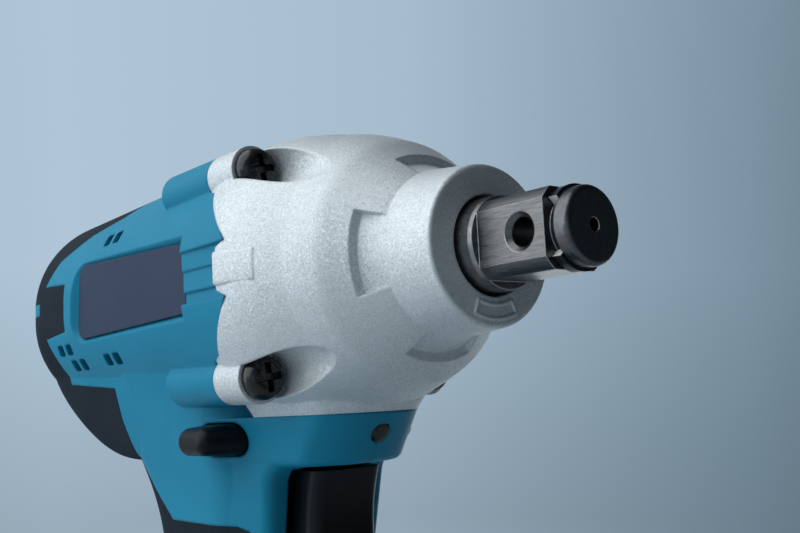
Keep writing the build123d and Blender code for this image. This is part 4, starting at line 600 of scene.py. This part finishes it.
# Lugs of the hammer case
def side_lug(side):
    """Flat block on a side of the case, between the two ridges of the housing."""
    form = bmesh.new()
    upper = [form.verts.new(place(length, side * y, LUG_HALF_HEIGHT)) for length, y in LUG_OUTLINE]
    lower = [form.verts.new(place(length, side * y, -LUG_HALF_HEIGHT)) for length, y in LUG_OUTLINE]
    form.faces.new(upper)
    form.faces.new(reversed(lower))
    for number in range(len(upper)):
        following = (number + 1) % len(upper)
        form.faces.new((upper[following], upper[number], lower[number], lower[following]))
    bmesh.ops.recalc_face_normals(form, faces=form.faces[:])
    bmesh.ops.bevel(form, geom=form.edges[:], offset=LUG_BEVEL * MM, segments=4, profile=0.5, affect="EDGES")
    mesh = mesh_from(form, "side_lug")
    mesh.shade_smooth()
    mesh.materials.append(finishes["cast_silver"])
    lug = linked("side_lug", mesh)
    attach(lug, body_of(nodes["hammer_case"])[0])


for side in (-1, 1):
    side_lug(side)

# Stage: a pale round floor
floor_form = bmesh.new()
bmesh.ops.create_circle(floor_form, cap_ends=True, segments=FLOOR_SIDES, radius=FLOOR_RADIUS)
floor = linked("floor", mesh_from(floor_form, "floor"))
floor.location.z = -FLOOR_DROP
floor.data.materials.append(finishes["floor_paper"])

# Camera at the photograph's view
look = Vector((math.cos(PITCH) * math.cos(YAW), math.cos(PITCH) * math.sin(YAW), math.sin(PITCH)))
level = look.cross(Vector((0, 0, 1))).normalized()
upright = level.cross(look)
right = math.cos(ROLL) * level + math.sin(ROLL) * upright
top = -math.sin(ROLL) * level + math.cos(ROLL) * upright
camera_data = bpy.data.cameras.new("camera")
camera_data.sensor_width = SENSOR_WIDTH
camera_data.lens = FOCAL_LENGTH
camera_data.clip_start = CLIP_START
camera = linked("camera", camera_data)
turn = Matrix((right, top, -look)).transposed().to_4x4()
camera.matrix_world = Matrix.Translation(place(*CAMERA_PLACE)) @ turn
scene.camera = camera


# World: a graded backdrop, pale on the left of the picture, darker at its lower edge and beyond its right edge
def graded(tree, direction, axis, steps):
    """Colour that changes along an axis of the view."""
    along = vector_math(tree, "DOT_PRODUCT", direction, axis)
    factor = spread(tree, along, 0.0, 1.0, start=-1.0, stop=1.0)
    node = tree.nodes.new("ShaderNodeValToRGB")
    stops = node.color_ramp.elements
    stops.remove(stops[1])
    for number, (spot, colour) in enumerate(steps):
        position = (spot + 1) / 2
        stop = stops[0] if number == 0 else stops.new(position)
        stop.position = position
        stop.color = (*colour, 1)
    tree.links.new(factor, node.inputs["Fac"])
    return node.outputs["Color"]


def backdrop():
    """World that the camera and mirrors see in full, and of which matt surfaces get a share."""
    world = bpy.data.worlds.new("studio")
    world.use_nodes = True
    tree = world.node_tree
    tree.nodes.clear()
    direction = tree.nodes.new("ShaderNodeTexCoord").outputs["Generated"]
    shares = [(spot, (share, share, share)) for spot, share in UPWARDS]
    blend = tree.nodes.new("ShaderNodeMix")
    blend.data_type = "RGBA"
    blend.blend_type = "MULTIPLY"
    blend.inputs["Factor"].default_value = 1.0
    tree.links.new(graded(tree, direction, right, ACROSS), blend.inputs["A"])
    tree.links.new(graded(tree, direction, top, shares), blend.inputs["B"])
    rays = tree.nodes.new("ShaderNodeLightPath").outputs
    mirrored = number_math(tree, "MAXIMUM", rays["Is Glossy Ray"], rays["Is Transmission Ray"])
    seen = number_math(tree, "MAXIMUM", rays["Is Camera Ray"], mirrored)
    strength = spread(tree, seen, MATT_SHARE, 1.0, start=0.0, stop=1.0)
    background = tree.nodes.new("ShaderNodeBackground")
    tree.links.new(blend.outputs["Result"], background.inputs["Color"])
    tree.links.new(strength, background.inputs["Strength"])
    output = tree.nodes.new("ShaderNodeOutputWorld")
    tree.links.new(background.outputs["Background"], output.inputs["Surface"])
    return world


scene.world = backdrop()


# Lamps
def soft_box(name, towards, distance, size, power, colour):
    """Square area light that shines at the head of the tool from a direction."""
    light = bpy.data.lights.new(name, "AREA")
    light.shape = "SQUARE"
    light.size = size
    light.energy = power
    light.color = colour
    lamp = linked(name, light)
    towards = Vector(towards).normalized()
    lamp.location = place(*LIGHT_AIM) + towards * distance
    lamp.rotation_euler = (-towards).to_track_quat("-Z", "Y").to_euler()


from_upper_left = -0.62 * right + 0.6 * top - 0.12 * look
from_lower_left = -0.95 * right - 0.25 * top - 0.1 * look
from_behind = (-0.6, 0.8, 0.1)
soft_box("key", from_upper_left, distance=0.6, size=1.0, power=5.4, colour=DAYLIGHT)
soft_box("side", from_lower_left, distance=0.8, size=0.5, power=1.1, colour=DAYLIGHT)
soft_box("fill", from_behind, distance=0.8, size=0.6, power=1.2, colour=COOL_LIGHT)
scene.view_settings.view_transform = "Standard"
